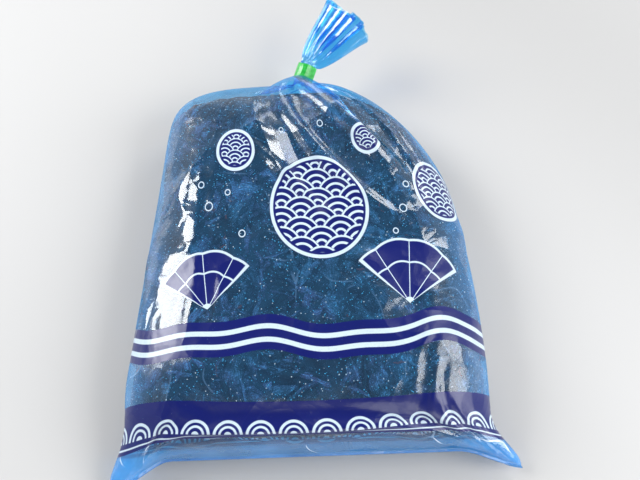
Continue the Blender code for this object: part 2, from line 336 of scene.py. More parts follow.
def keep_chart(piece: bpy.types.Object, name: str, chart: Array) -> None:
    """Stores a UV map.

    Args:
        piece: The piece.
        name: The map's name.
        chart: A pair of numbers a vertex, (n, 2).
    """
    corners = np.empty(len(piece.data.loops), np.int32)
    piece.data.loops.foreach_get("vertex_index", corners)
    layer = piece.data.uv_layers.new(name=name)
    layer.data.foreach_set("uv", chart[corners].astype(np.float32).ravel())


def place_piece(
    piece: bpy.types.Object, material: bpy.types.Material, slot: str, *nodes: str
) -> None:
    """Gives a piece its material and says where it belongs in the CAD.

    Args:
        piece: The piece.
        material: Its material.
        slot: The record's slot; not used.
        nodes: The CAD nodes that it stands for.
    """
    piece.data.materials.append(material)
    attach(piece, "root")
    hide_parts(*nodes)
    mesh = piece.data
    log.info("%s: %d vertices, %d faces", piece.name, len(mesh.vertices), len(mesh.polygons))


def unit(vectors: Array) -> Array:
    """Vectors of length one."""
    return vectors / np.maximum(np.linalg.norm(vectors, axis=-1, keepdims=True), 1e-12)


def run_length(points: Array) -> Array:
    """The distance along a path to each of its points."""
    return np.concatenate([[0], np.cumsum(np.linalg.norm(np.diff(points, axis=0), axis=1))])


def smooth_step(value: Array, low: float, high: float) -> Array:
    """0 at low, 1 at high, with flat ends: 3 t^2 - 2 t^3. low may be the greater."""
    t = np.clip((value - low) / (high - low), 0.0, 1.0)
    return t * t * (3 - 2 * t)


# The bag's outer form, which the film starts from and the wakame is packed into


@dataclass(frozen=True)
class Ear:
    """A bottom corner of the film, drawn out flat. It begins and is full at shares of the half
    width, and its tip lies so far out along X and back along -Y."""

    begins: float
    full: float
    out: float
    back: float


@dataclass(frozen=True)
class BagForm:
    """The filled bag as sections across Y, as the CAD has it."""

    half_width: float = 0.0960
    widest_y: float = -0.072
    left_lean: float = 0.127
    right_curve: float = 0.90
    seal_y: float = -0.109
    neck_y: float = 0.107
    left_shoulder_y: float = 0.058
    left_power: float = 4.6
    right_shoulder_y: float = 0.024
    right_power: float = 2.2
    shoulder_y: float = 0.030
    shoulder_power: float = 2.6
    height: float = 0.0492
    crease: float = 0.018
    under: float = 1.25
    side_power: float = 3.2
    pinch: float = 1.8
    least_rise: float = 0.0005
    lowest: float = 0.0006
    rounding: float = 0.050
    seal_power: float = 2.2
    seal_height: float = 0.013
    ear_length: float = 0.015
    ear_drop: float = 0.0075
    left_ear: Ear = Ear(0.76, 0.97, -0.0095, 0.0135)
    right_ear: Ear = Ear(0.84, 0.98, 0.0160, 0.0085)
    neck: tuple[float, float, float] = (0.001, 0.107, 0.024)
    neck_aim: tuple[float, float, float] = (0.37, 0.85, 0.37)

    @staticmethod
    def closing(distance: Array, length: float, power: float) -> Array:
        """1 in the body and 0 at a rounded end: (1 - t^power)^(1/power)."""
        t = np.clip(distance / length, 0.0, 1.0)
        return (1.0 - t**power) ** (1.0 / power)

    def to_end(self, y: Array, start: float, power: float) -> Array:
        """1 up to start and 0 at the neck, rounded off."""
        return self.closing(y - start, self.neck_y - start, power)

    def left(self, y: Array) -> Array:
        """From the middle to the left side at y: an even lean, then a square shoulder."""
        lean = self.half_width - self.left_lean * np.maximum(y - self.widest_y, 0.0)
        return lean * self.to_end(y, self.left_shoulder_y, self.left_power)

    def right(self, y: Array) -> Array:
        """From the middle to the right side at y: a slow curve, then a sloping shoulder."""
        lean = self.half_width - self.right_curve * np.maximum(y - self.widest_y, 0.0) ** 2
        return lean * self.to_end(y, self.right_shoulder_y, self.right_power)

    def half(self, side: Array, y: Array) -> Array:
        """From the middle to the left where side is below 0, and else to the right."""
        return np.where(side < 0, self.left(y), self.right(y))

    def to_neck(self, y: Array) -> Array:
        """0 before the shoulders and 1 at the neck."""
        return np.clip((y - self.shoulder_y) / (self.neck_y - self.shoulder_y), 0.0, 1.0)

    def fullness(self, y: Array) -> Array:
        """0 at the seal, 1 in the body and 0 at the neck."""
        bottom = self.closing(self.seal_y + self.rounding - y, self.rounding, self.seal_power)
        return bottom * self.to_end(y, self.shoulder_y, self.shoulder_power)

    def crease_height(self, y: Array) -> Array:
        """Height of the side creases, which climbs to the neck and drops to the seal by squares.

        Args:
            y: Where the section is.

        Returns:
            The height.
        """
        from_seal = np.clip((self.seal_y + self.rounding - y) / self.rounding, 0.0, 1.0) ** 2
        middle = self.crease + (self.neck[2] - self.crease) * self.to_neck(y) ** 2
        return middle + (self.seal_height - self.crease) * from_seal

    def section(self, y: float, count: int) -> Array:
        """The outline at y: a superellipse with its own upper and lower height, flat on the table,
        and near the seal drawn out at its corners into the ears.

        Args:
            y: Where the section is.
            count: Points round it, from the right crease over the front.

        Returns:
            Points, (count, 3), evenly spaced along the front half and along the back half.
        """
        angle = np.linspace(0.0, 2 * math.pi, FINE + 1)
        cosine, sine = np.cos(angle), np.sin(angle)
        station = np.array(y)
        full = float(self.fullness(station))
        above = (self.height - self.crease) * full + self.least_rise
        below = self.crease * self.under * full + self.least_rise
        wide = self.half(cosine, station)
        x = wide * np.sign(cosine) * np.abs(cosine) ** (2 / self.side_power)
        rise = np.where(sine >= 0, above, below) * np.sign(sine) * np.abs(sine) ** (2 / self.pinch)
        ear = float(np.clip((self.seal_y + self.ear_length - y) / self.ear_length, 0, 1))
        share = np.abs(x) / wide
        left, right = self.left_ear, self.right_ear
        corner = np.where(
            cosine < 0,
            smooth_step(share, left.begins, left.full),
            smooth_step(share, right.begins, right.full),
        )
        x = x + np.where(cosine < 0, left.out, right.out) * ear * ear * (3 - 2 * ear) * corner
        back = np.where(cosine < 0, left.back, right.back) * ear * corner
        z = float(self.crease_height(station)) + rise - self.ear_drop * ear * corner
        points = np.stack([x, y - back, np.maximum(z, self.lowest)], axis=1)
        halves = []
        for part in (points[: FINE // 2 + 1], points[FINE // 2 :]):
            length = run_length(part)
            even = np.linspace(0, length[-1], count // 2 + 1)[:-1]
            halves.append(np.stack([np.interp(even, length, part[:, k]) for k in range(3)], axis=1))
        return np.concatenate(halves)


@dataclass(frozen=True)
class FillForm:
    """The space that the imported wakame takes, as a level function that is 1 on its surface."""

    bag: BagForm
    side_air: float = 0.0014
    inset: float = 0.0022
    middle_y: float = -0.0005
    half_length: float = 0.0992
    end_power: int = 20
    rise_power: float = 2.4
    root: float = 2.8
    least_width: float = 0.004
    least_rise: float = 0.003
    lumpy: float = 0.018
    lumpy_sides: float = 0.008
    lowest: float = 0.0009
    most_lump: float = 0.004
    probe: float = 2e-5
    wide_probe: float = 1e-4
    resting: tuple[float, float] = (0.003, 0.0012)

    @staticmethod
    def lumps(p: Array) -> Array:
        """Uneven packing, about -1 to 1: three waves of 45 mm to 90 mm that cross each other."""
        x, y, z = p[..., 0], p[..., 1], p[..., 2]
        return (
            0.45 * np.sin(72 * x + 55 * y + 40 * z + 0.9)
            + 0.35 * np.sin(-88 * x + 74 * y + 2.1)
            + 0.30 * np.sin(35 * x - 128 * y - 60 * z + 1.2 * np.sin(60 * x + 2.0))
        )

    def limits(self, side: Array, y: Array) -> tuple[Array, Array, Array]:
        """The fill's size at y, which is the bag's less a little air.

        Args:
            side: Below 0 on the left.
            y: Where the section is.

        Returns:
            The half width on that side, and the rises above and below the crease.
        """
        bag, full = self.bag, self.bag.fullness(y)
        wide = np.maximum(bag.half(side, y) - self.side_air, self.least_width)
        above = np.maximum((bag.height - bag.crease) * full - self.inset, self.least_rise)
        below = np.maximum(bag.crease * bag.under * full - self.inset, self.least_rise)
        return wide, above, below

    def ends(self, y: Array) -> Array:
        """(y/b)^20: next to nothing in the body, and 1 at both ends."""
        return ((y - self.middle_y) / self.half_length) ** self.end_power

    def level(self, p: Array) -> Array:
        """|x/a|^3.2 + |z/c|^2.4 + (y/b)^20, under the root that makes it grow evenly outwards, and
        less where the packing is lumpy, most of all at the sides.

        Args:
            p: Points, (..., 3).

        Returns:
            Less than 1 inside and more outside.
        """
        x, y, z = p[..., 0], p[..., 1], p[..., 2]
        wide, above, below = self.limits(x, y)
        crease = self.bag.crease_height(y)
        rise = np.where(z >= crease, above, below)
        value = (
            np.abs(x / wide) ** self.bag.side_power
            + np.abs((z - crease) / rise) ** self.rise_power
            + self.ends(y)
        )
        uneven = self.lumpy + self.lumpy_sides * np.minimum(np.abs(x / wide), 1.0) ** 2
        return value ** (1 / self.root) * (1 - uneven * self.lumps(p))

    def rises(self, p: Array, base: Array, step: float) -> Array:
        """How much the level, which is base at p, grows over a step along X, Y and Z."""
        return np.stack([self.level(p + step * axis) - base for axis in np.eye(3)], axis=-1)

    def way_out(self, p: Array, base: Array) -> Array:
        """The move that brings points to the surface, along the level's own slope: what is missing
        to 1, by the slope over its squared length.

        Args:
            p: Points, (..., 3).
            base: The level there.

        Returns:
            The moves, (..., 3).
        """
        slope = self.rises(p, base, self.probe) / self.probe
        return (1.0 - base)[..., None] * slope / np.maximum((slope**2).sum(-1, keepdims=True), 1.0)

    def skin(self, turn: Array, y: Array) -> Array:
        """The surface point at an angle round the section at y: the level's formula without its
        lumps, solved for x and z, then two steps onto the lumpy surface, never below the table.

        Args:
            turn: Angles from the right side over the top.
            y: Where the sections are.

        Returns:
            Points, (..., 3).
        """
        cosine, sine = np.cos(turn), np.sin(turn)
        rest = np.clip(1.0 - self.ends(y), 0.0, 1.0)
        wide, above, below = self.limits(cosine, y)
        x = wide * np.sign(cosine) * (rest * cosine**2) ** (1 / self.bag.side_power)
        rise = np.where(sine > 0, above, -below) * (rest * sine**2) ** (1 / self.rise_power)
        p = np.stack([x, y + 0 * x, self.bag.crease_height(y) + rise], axis=-1)
        for _ in range(2):
            p = p + np.clip(self.way_out(p, self.level(p)), -self.most_lump, self.most_lump)
        p[..., 2] = np.maximum(p[..., 2], self.lowest)
        return p

    def slope(self, p: Array) -> Array:
        """Outward unit normals of the level, straight down where a point rests on the table.

        Args:
            p: Points, (..., 3).

        Returns:
            The normals, (..., 3).
        """
        out = unit(self.rises(p, self.level(p), self.wide_probe))
        resting = smooth_step(p[..., 2], *self.resting)[..., None]
        return unit(out * (1 - resting) + resting * np.array([0.0, 0.0, -1.0]))

    def push_out(self, p: Array, most: float) -> Array:
        """Moves points that are inside to the surface.

        Args:
            p: Points, (..., 3), changed in place.
            most: The furthest that a point may move.

        Returns:
            The mask of points that were inside.
        """
        value = self.level(p)
        inside = value < 1.0
        if inside.any():
            move = self.way_out(p[inside], value[inside])
            size = np.linalg.norm(move, axis=1, keepdims=True)
            p[inside] += move * np.minimum(1.0, most / np.maximum(size, 1e-9))
        return inside


# The film


@dataclass
class FilmSolver:
    """A tube of film that settles over the fill: each step moves neighbouring points towards their
    distance in the flat film, strongly where it is stretched and weakly where it is bunched up, so
    that spare film stands in folds."""

    fill: FillForm
    grid: Array
    home: Array
    around: Array
    along: Array
    neck_rows: int
    skirt_rows: int
    neck: Array
    aim: Array
    weight: float = 6e-6
    puff: float = 4e-6
    carry: float = 0.88
    fastest: float = 0.002
    push: float = 0.003
    grip: float = 0.25
    bend: float = 0.10
    shear: float = 0.35
    least_soft: float = 0.25
    hold: float = 0.06
    seal_zone: tuple[float, float] = (0.098, 0.109)
    lowest: float = 0.0003
    apart: float = 0.0002
    tape_radius: float = 0.0071
    tape_span: tuple[float, float] = (0.0030, 0.016)
    smoothings: int = 2

    def pull(
        self, a: Array, b: Array, rest: Array | float, tight: float, slack: float | Array
    ) -> None:
        """Moves two views of points, a and b, towards the distance rest from each other.

        Args:
            a: First points, changed in place.
            b: Second points, changed in place.
            rest: Flat distance.
            tight: Share of a stretch that is taken out.
            slack: Share of a shortening that is taken out.
        """
        gap = b - a
        length = np.sqrt((gap * gap).sum(-1))
        error = 1.0 - rest / np.maximum(length, 1e-7)
        share = 0.5 * np.where(error > 0, tight, slack) * np.clip(error, -0.5, 0.5)
        move = gap * share[..., None]
        a += move
        b -= move

    def pull_all(self, p: Array, soft: Array) -> Array:
        """One sweep over rows, columns, both diagonals and the second neighbours.

        Args:
            p: The grid, changed in place.
            soft: For each row, the share of a shortening that is taken out.

        Returns:
            The grid, rolled back to its first column.
        """
        rest, along = self.around, self.along
        across = np.sqrt(rest[:-1] ** 2 + along[:, None] ** 2)
        row_soft = soft[:, None]
        for turn in range(2):
            flat = np.roll(rest, -turn, axis=1)[:, 0::2]
            self.pull(p[:, 0::2], p[:, 1::2], flat, 1.0, row_soft)
            p = np.roll(p, -1, axis=1)
        p = np.roll(p, 2, axis=1)
        for first in (0, 1):
            rows = (len(p) - first) // 2 * 2 + first
            low, high = p[first:rows:2], p[first + 1 : rows : 2]
            top = row_soft[first:rows:2]
            step = along[first : rows - 1 : 2][:, None]
            self.pull(low, high, step, 1.0, np.maximum(top, self.least_soft))
            slanted = across[first : rows - 1 : 2][: len(low)]
            for shift in (1, -1):
                turned = np.roll(high, -shift, axis=1)
                self.pull(low, turned, slanted, self.shear, self.shear * top)
                high[:] = np.roll(turned, shift, axis=1)
        for turn in (0, 2):
            four = p.reshape(len(p), -1, 4, 3)
            twice = 2 * np.roll(rest, -turn, axis=1).reshape(len(p), -1, 4)[:, :, 0:2]
            soft_fold = self.bend * row_soft[:, :, None]
            self.pull(four[:, :, 0:2], four[:, :, 2:4], twice, 0.0, soft_fold)
            p = np.roll(p, -2, axis=1)
        p = np.roll(p, 4, axis=1)
        for first in range(0, 4, 2):
            rows = (len(p) - first) // 4 * 4 + first
            four = p[first:rows].reshape(-1, 4, p.shape[1], 3)
            spans = [along[first + k : rows - 2 + k : 4] for k in (0, 1)]
            twice = 2 * np.stack(spans, axis=1)[..., None]
            self.pull(four[:, 0:2], four[:, 2:4], twice[: len(four)], 0.0, self.bend)
        return p

    def keep_apart(self, p: Array) -> None:
        """Holds the front film above the back film, and joins them in the skirt below the seal.

        Args:
            p: The grid, changed in place.
        """
        half = p.shape[1] // 2
        front, back = p[:, 1:half], p[:, :half:-1]
        middle = (front[..., 2] + back[..., 2]) / 2
        crossed = front[..., 2] - back[..., 2] < 2 * self.apart
        front[..., 2] = np.where(crossed, middle + self.apart, front[..., 2])
        back[..., 2] = np.where(crossed, middle - self.apart, back[..., 2])
        skirt = slice(0, self.skirt_rows)
        both = (front[skirt] + back[skirt]) / 2
        front[skirt] = both + np.array([0, 0, self.apart])
        back[skirt] = both - np.array([0, 0, self.apart])

    def clear_tape(self, p: Array) -> None:
        """Moves points that are in the wound tape out of it, straight away from the neck's axis.

        Args:
            p: The grid, changed in place.
        """
        offset = p - self.neck
        along = offset @ self.aim
        radial = offset - along[..., None] * self.aim
        radius = np.linalg.norm(radial, axis=-1)
        start, end = self.tape_span
        inside = (along > start) & (along < end) & (radius < self.tape_radius)
        scale = self.tape_radius / np.maximum(radius[inside], 1e-6)
        p[inside] = self.neck + along[inside][:, None] * self.aim + radial[inside] * scale[:, None]

    def holding(self) -> Array:
        """How much each point is drawn to its place in the filled form, where trapped air keeps the
        film out: most at the side creases and at the seal, and nothing over the front and back.

        Returns:
            Shares, (rows, columns, 1).
        """
        columns = self.grid.shape[1]
        turn = 2 * math.pi * np.arange(columns) / columns
        side = np.abs(np.cos(turn)) ** 14
        seal = smooth_step(-self.home[..., 1].mean(axis=1), *self.seal_zone)
        return self.hold * np.maximum(side[None, :], seal[:, None])[..., None]

    def normals(self, p: Array) -> Array:
        """Outward normals of the grid."""
        along = np.gradient(p, axis=0)
        return unit(np.cross(along, np.roll(p, -1, axis=1) - np.roll(p, 1, axis=1)))

    def settle(self, steps: int, soft: Array) -> Array:
        """Runs the steps.

        Args:
            steps: How many.
            soft: For each row, the share of a shortening that is taken out.

        Returns:
            The settled grid.
        """
        p = self.grid.copy()
        before = p.copy()
        held = p[-self.neck_rows :].copy()
        holding = self.holding()
        for step in range(steps):
            speed = np.clip(p - before, -self.fastest, self.fastest) * self.carry
            before = p.copy()
            p += speed
            p[..., 2] -= self.weight
            if step % 2 == 0:
                p += self.normals(p) * 2 * self.puff
            p = self.pull_all(p, soft)
            p += holding * (self.home - p)
            inside = self.fill.push_out(p, self.push)
            p[inside] += self.grip * (before[inside] - p[inside]) * np.array([1.0, 1.0, 0.0])
            self.keep_apart(p)
            self.clear_tape(p)
            p[..., 2] = np.maximum(p[..., 2], self.lowest)
            p[-self.neck_rows :] = held
        for _ in range(self.smoothings):
            sides = np.roll(p, 1, axis=1) + np.roll(p, -1, axis=1)
            p[1:-1] += 0.5 * ((sides[1:-1] + p[2:] + p[:-2]) / 4 - p[1:-1])
        self.keep_apart(p)
        return p


def refine_rows(p: Array) -> Array:
    """Puts a point between each two rows, by the four-point rule: 9/16 of both, less 1/16 of the
    next ones on.

    Args:
        p: A grid.

    Returns:
        The finer grid.
    """
    ends = np.concatenate([2 * p[:1] - p[1:2], p, 2 * p[-1:] - p[-2:-1]])
    between = (9 * (ends[1:-2] + ends[2:-1]) - ends[:-3] - ends[3:]) / 16
    out = np.empty((2 * len(p) - 1, *p.shape[1:]))
    out[0::2] = p
    out[1::2] = between
    return out


def refine_columns(p: Array) -> Array:
    """Puts a point between each two columns of a closed grid, by the same rule.

    Args:
        p: A grid.

    Returns:
        The finer grid.
    """
    ahead = np.roll(p, -1, axis=1)
    between = (9 * (p + ahead) - np.roll(p, 1, axis=1) - np.roll(p, -2, axis=1)) / 16
    return np.stack([p, between], axis=2).reshape(len(p), -1, 3)


@dataclass
class BagFilm:
    """The bag: one tube of film with a sealed bottom, gathered neck and fanned tail."""

    bag: BagForm
    fill: FillForm
    columns: int = 64
    rows: int = 38
    steps: tuple[int, int, int] = (260, 160, 90)
    skirts: tuple[int, int, int] = (2, 3, 4)
    jitter: float = 0.00025
    seal_zone: tuple[float, float] = (0.092, 0.109)
    gather_zone: tuple[float, float] = (0.055, 0.095)
    stiff_zone: tuple[float, float] = (0.02, 0.10)
    body_soft: float = 0.55
    neck_stiffer: float = 0.40
    flat_half_width: float = 0.115
    seal_half_width: float = 0.110
    neck_gap: float = 0.0012
    neck_rise: float = 0.004
    neck_radius: float = 0.0045
    neck_lobes: int = 13
    lobe_depth: float = 0.17
    neck_length: float = 0.0136
    neck_turn: float = 0.0033
    neck_rows: int = 8
    tail_aim: tuple[float, float, float] = (0.70, 0.65, 0.30)
    tail_facing: tuple[float, float, float] = (0.0, -0.38, 0.92)
    tail_length: float = 0.0395
    tail_root: float = 0.006
    tail_half_angle: float = math.radians(23.0)
    tail_rows: int = 26
    long_slack: float = 1.02
    top_slack: float = 0.22
    all_slack: float = 1.028
    uneven_slack: float = 0.011
    shoulder_slack: float = 0.10
    right_slack: float = 0.11

    def start(self) -> tuple[Array, Array, Array]:
        """The grid before it settles.

        Returns:
            The points (rows, columns, 3), the heights up the flat film of the rows, and the length
            of each row's section.
        """
        bag = self.bag
        y = np.linspace(bag.seal_y, bag.neck_y - self.neck_gap, 600)
        top = bag.crease_height(y) + (bag.height - bag.crease) * bag.fullness(y)
        top[0] = bag.seal_height
        path = np.concatenate([[0], np.cumsum(np.hypot(np.diff(y), np.diff(top)))])
        stations = np.interp(np.linspace(0, path[-1], self.rows), path, y)
        grid = np.array([bag.section(float(station), self.columns) for station in stations])
        grid = np.concatenate([grid, self.neck_ring(0.0, self.columns, upright=True)[None]])
        near = smooth_step(grid[..., 1].mean(axis=1), *self.gather_zone)
        even = (path[-1] + self.neck_rise) / (len(grid) - 1)
        step = even * (self.long_slack + self.top_slack * (near[1:] + near[:-1]) / 2)
        up = np.concatenate([[0], np.cumsum(step)])
        loops = np.linalg.norm(np.roll(grid, -1, axis=1) - grid, axis=2).sum(axis=1)
        return grid, up, loops

    def neck_ring(self, along: float, count: int, upright: bool = False) -> Array:
        """A lobed ring round the neck, along metres past its root.

        Args:
            along: Distance from the root.
            count: Points in the ring.
            upright: True for a ring that stands across Y, and False for one across the neck.

        Returns:
            Points, (count, 3).
        """
        aim = Vector(self.bag.neck_aim).normalized()
        width = Vector((1, 0, 0)) if upright else aim.cross(Vector((0, 0, 1))).normalized()
        front = Vector((0, 0, 1)) if upright else width.cross(aim).normalized()
        angle = 2 * math.pi * np.arange(count) / count
        lobes = 0.5 - 0.5 * np.cos(self.neck_lobes * angle + 0.8 * np.sin(2 * angle))
        reach = self.neck_radius * (1 - self.lobe_depth * lobes)
        centre = np.array(self.bag.neck) + np.array(aim) * along
        ring = centre + np.outer(reach * np.cos(angle), width)
        return ring + np.outer(reach * np.sin(angle), front)

    def slack(self, home: Array) -> Array:
        """How much wider the film is than the form: a little all over and unevenly, more at the
        shoulders, and most over the right shoulder, where a fold lies.

        Args:
            home: Points of the form, (rows, columns, 3).

        Returns:
            Factors, (rows, columns).
        """
        x, y, z = home[..., 0], home[..., 1], home[..., 2]
        uneven = (
            np.sin(95 * x + 61 * y + 0.4)
            + np.sin(-57 * x + 118 * y + 1.9)
            + np.sin(40 * x - 150 * z + 83 * y)
        )
        shoulder = smooth_step(y, 0.040, 0.100)
        over = smooth_step(z, 0.015, 0.030)
        right = smooth_step(x, 0.010, 0.050) * smooth_step(y, 0.000, 0.050) * over
        more = self.all_slack + self.uneven_slack * uneven + self.shoulder_slack * shoulder
        return more + self.right_slack * right

    def settled(self) -> tuple[Array, Array]:
        """The film over the fill, at three finenesses one after another.

        Returns:
            The points and the rows' heights up the flat film.
        """
        grid, up, loops = self.start()
        home = grid
        draw = np.random.default_rng(SEED)
        for level, steps in enumerate(self.steps):
            y = grid[..., 1].mean(axis=1)
            columns = grid.shape[1]
            flat = 4 * self.seal_half_width / columns
            rest = (loops[:, None] * self.slack(home)) / columns
            rest = rest + (flat - rest) * smooth_step(-y, *self.seal_zone)[:, None]
            solver = FilmSolver(
                fill=self.fill,
                grid=grid + draw.normal(size=grid.shape) * self.jitter / 4**level,
                home=home,
                around=rest,
                along=np.diff(up),
                neck_rows=1,
                skirt_rows=self.skirts[level],
                neck=np.array(self.bag.neck),
                aim=np.array(Vector(self.bag.neck_aim).normalized()),
            )
            soft = self.body_soft - self.neck_stiffer * smooth_step(y, *self.stiff_zone)
            grid = solver.settle(steps, soft)
            log.info("film level %d: %d points", level, grid.shape[0] * columns)
            if level < len(self.steps) - 1:
                grid, home = (refine_columns(refine_rows(p)) for p in (grid, home))
                share = np.linspace(0, 1, len(grid))
                up, loops = (np.interp(share, np.linspace(0, 1, len(v)), v) for v in (up, loops))
        return grid, up

    def tail_ring(self, share: float, count: int) -> Array:
        """A section of the tail: the front and back films fan out side by side from the tape.

        A point lies at a turn and a reach from the apex, and rises across the fan by a sharpened
        cosine, arcsin(cos), for the broad pleats and a plain one for the fine pleats. The pleats
        are drawn together where they fold over, and grow towards the ragged mouth.

        Args:
            share: 0 at the tape and 1 at the mouth.
            count: Points in the section.

        Returns:
            Points, (count, 3).
        """
        aim = np.array(Vector(self.tail_aim).normalized())
        facing = np.array(Vector(self.tail_facing).normalized())
        width = unit(np.cross(aim, facing))
        front = np.cross(width, aim)
        half = count // 2
        index = np.arange(count)
        steps = np.where(index <= half, index, count - index)
        across = 1.0 - 2.0 * steps / half
        side = np.where(index <= half, 1.0, -1.0)
        phase = 2 * math.pi * (2.6 * across + 0.42 * np.sin(2.9 * across + 0.7)) + 0.5 * side
        second = 2 * math.pi * (6.4 * across + 0.3 * side)
        rise = 0.0016 * share**0.8 * (np.arcsin(0.985 * np.cos(phase)) + 0.16 * np.cos(second))
        rise = rise + side * (0.0003 + 0.0008 * share * (1 - across**2))
        rise = rise + 0.0040 * share**2 * np.sin(2.1 * across + 0.9)
        fold = 0.165 * np.sin(phase) + 0.012 * np.sin(second)
        folded = across + fold * (1 - across**8) * min(1.0, 2 * share)
        opening = self.tail_half_angle * (1 + 0.9 * (1 - share) ** 2)
        turn = opening * np.clip(folded, -1.0, 1.0)
        ragged = (
            0.040 * np.sin(5 * across)
            + 0.012 * np.sin(17 * across + side)
            + 0.006 * np.sin(53 * across)
        )
        reach = self.tail_root + self.tail_length * share * (1 + ragged * share**3)
        neck_aim = np.array(Vector(self.bag.neck_aim).normalized())
        apex = np.array(self.bag.neck) + neck_aim * self.neck_length
        apex = apex - self.tail_root * aim
        fan = apex + np.outer(reach * np.cos(turn), aim) + np.outer(reach * np.sin(turn), width)
        fan = fan + np.outer(rise, front)
        ring = self.neck_ring(self.neck_length + self.tail_length * share * 0.5, count)
        blend = float(smooth_step(np.array(share), -0.03, 0.16))
        return ring * (1 - blend) + fan * blend

    def whole(self) -> tuple[Array, Array]:
        """The settled film with the rows of the neck and the tail after it.

        Returns:
            The points and the rows' heights up the flat film.
        """
        grid, up = self.settled()
        count = grid.shape[1]
        rows = []
        stations = np.linspace(0, self.neck_length, self.neck_rows + 1)[1:]
        for along in stations:
            turned = float(smooth_step(np.array(along), 0.0, self.neck_turn))
            straight = self.neck_ring(along, count, upright=True)
            rows.append(straight * (1 - turned) + self.neck_ring(along, count) * turned)
        shares = (np.arange(1, self.tail_rows + 1) / self.tail_rows) ** 0.9
        rows += [self.tail_ring(float(share), count) for share in shares]
        above = np.concatenate([stations, self.neck_length + self.tail_length * shares])
        return np.concatenate([grid, np.array(rows)]), np.concatenate([up, up[-1] + above])

    def build(self, material: bpy.types.Material) -> bpy.types.Object:
        """Makes the film as one sheet, closed at the bottom seal and open at the tail's mouth.

        Args:
            material: The printed film.

        Returns:
            The piece.
        """
        grid, up = self.whole()
        rows, columns = grid.shape[:2]
        half = columns // 2
        j = np.arange(1, half - 1)
        seal = np.stack([j, j + 1, columns - j - 1, columns - j], axis=1).tolist()
        seal += [(0, 1, columns - 1), (half - 1, half, half + 1)]
        faces = grid_faces(rows, columns)[:, ::-1].tolist() + seal
        piece = make_piece("bag_skin", grid.reshape(-1, 3), faces)
        index = np.arange(columns)
        steps = np.where(index <= half, index, columns - index)
        across = self.flat_half_width * (1 - 2 * steps / half)
        chart = np.stack(np.broadcast_arrays(across[None, :], up[:, None]), axis=-1)
        keep_chart(piece, "flat", chart.reshape(-1, 2))
        in_front = (index > 0) & (index < half)
        front = np.where(in_front, 1.0, np.where(index % half == 0, 0.5, 0.0))
        keep_on_mesh(piece, "front", np.broadcast_to(front, (rows, columns)))
        x, y = grid[..., 0], grid[..., 1]
        share = np.abs(x) / np.maximum(self.bag.half(x, y), self.fill.least_width)
        # Masks for the film's painted sheen: "lift" where the film stands off the wakame and "side"
        # by the side creases; "close" where it lies on the wakame, for the painted salt glints.
        side = smooth_step(share, 0.78, 1.0) * smooth_step(-y, -0.105, -0.085)
        level = self.fill.level(grid)
        keep_on_mesh(piece, "lift", smooth_step(level, 1.01, 1.12))
        keep_on_mesh(piece, "side", side)
        keep_on_mesh(piece, "close", 1.0 - smooth_step(level, 1.06, 1.20))
        place_piece(piece, material, "blue_film", "bag_film")
        return piece


# The neck tape


@dataclass(frozen=True)
class NeckTape:
    """Sealing tape wound a turn and a quarter round the gathered neck."""

    bag: BagForm
    start: float = 0.0041
    width: float = 0.0092
    bore: float = 0.00492
    thickness: float = 0.00050
    step_up: float = 0.00062
    overlap: float = math.radians(95)
    sides: int = 150
    outline: tuple[tuple[float, float], ...] = (
        (0, 0.02),
        (0, 0.98),
        (0.3, 1.0),
        (0.8, 0.995),
        (1, 0.97),
        (1.12, 0.5),
        (1, 0.03),
        (0.8, 0.005),
        (0.3, 0),
    )

    def build(self, material: bpy.types.Material) -> bpy.types.Object:
        """Makes the tape: a rounded strip section along a spiral that climbs over its own start.

        Args:
            material: The green tape.

        Returns:
            The piece.
        """
        aim = np.array(Vector(self.bag.neck_aim).normalized())
        width = unit(np.cross(aim, np.array([0.0, 0.0, 1.0])))
        front = np.cross(width, aim)
        total = 2 * math.pi + self.overlap
        turn = np.linspace(0, total, self.sides)
        lift = self.step_up * smooth_step(turn, 2 * math.pi - 0.45, 2 * math.pi - 0.02)
        pucker = 0.00010 * np.sin(13 * turn) + 0.00006 * np.sin(29 * turn + 1)
        inner = self.bore + lift + np.abs(pucker) * 0.5
        out, along = np.array(self.outline).T
        outer = inner[:, None] + self.thickness * out
        radius = outer + 0.6 * pucker[:, None] * (out > 0.5)
        uneven = 0.00012 * np.sin(3 * turn[:, None] + 5 * along)
        place = self.start + self.width * along + uneven
        angle = -turn[:, None]
        away = np.cos(angle)[..., None] * width + np.sin(angle)[..., None] * front
        points = np.array(self.bag.neck) + away * radius[..., None] + place[..., None] * aim
        count = len(out)
        faces = grid_faces(self.sides, count)[:, ::-1].tolist()
        last = (self.sides - 1) * count
        faces += [tuple(range(count)), tuple(last + k for k in reversed(range(count)))]
        piece = make_piece("tape_wrap", points.reshape(-1, 3), faces)
        piece.data.set_sharp_from_angle(angle=math.radians(50))
        place_piece(piece, material, "green_tape", "neck_tape")
        return piece


# The wakame


@dataclass(frozen=True)
class RibbonKind:
    """Least and greatest length and half width of some ribbons, and how deep their middles lie."""

    length: tuple[float, float]
    half_width: tuple[float, float]
    deepest: float


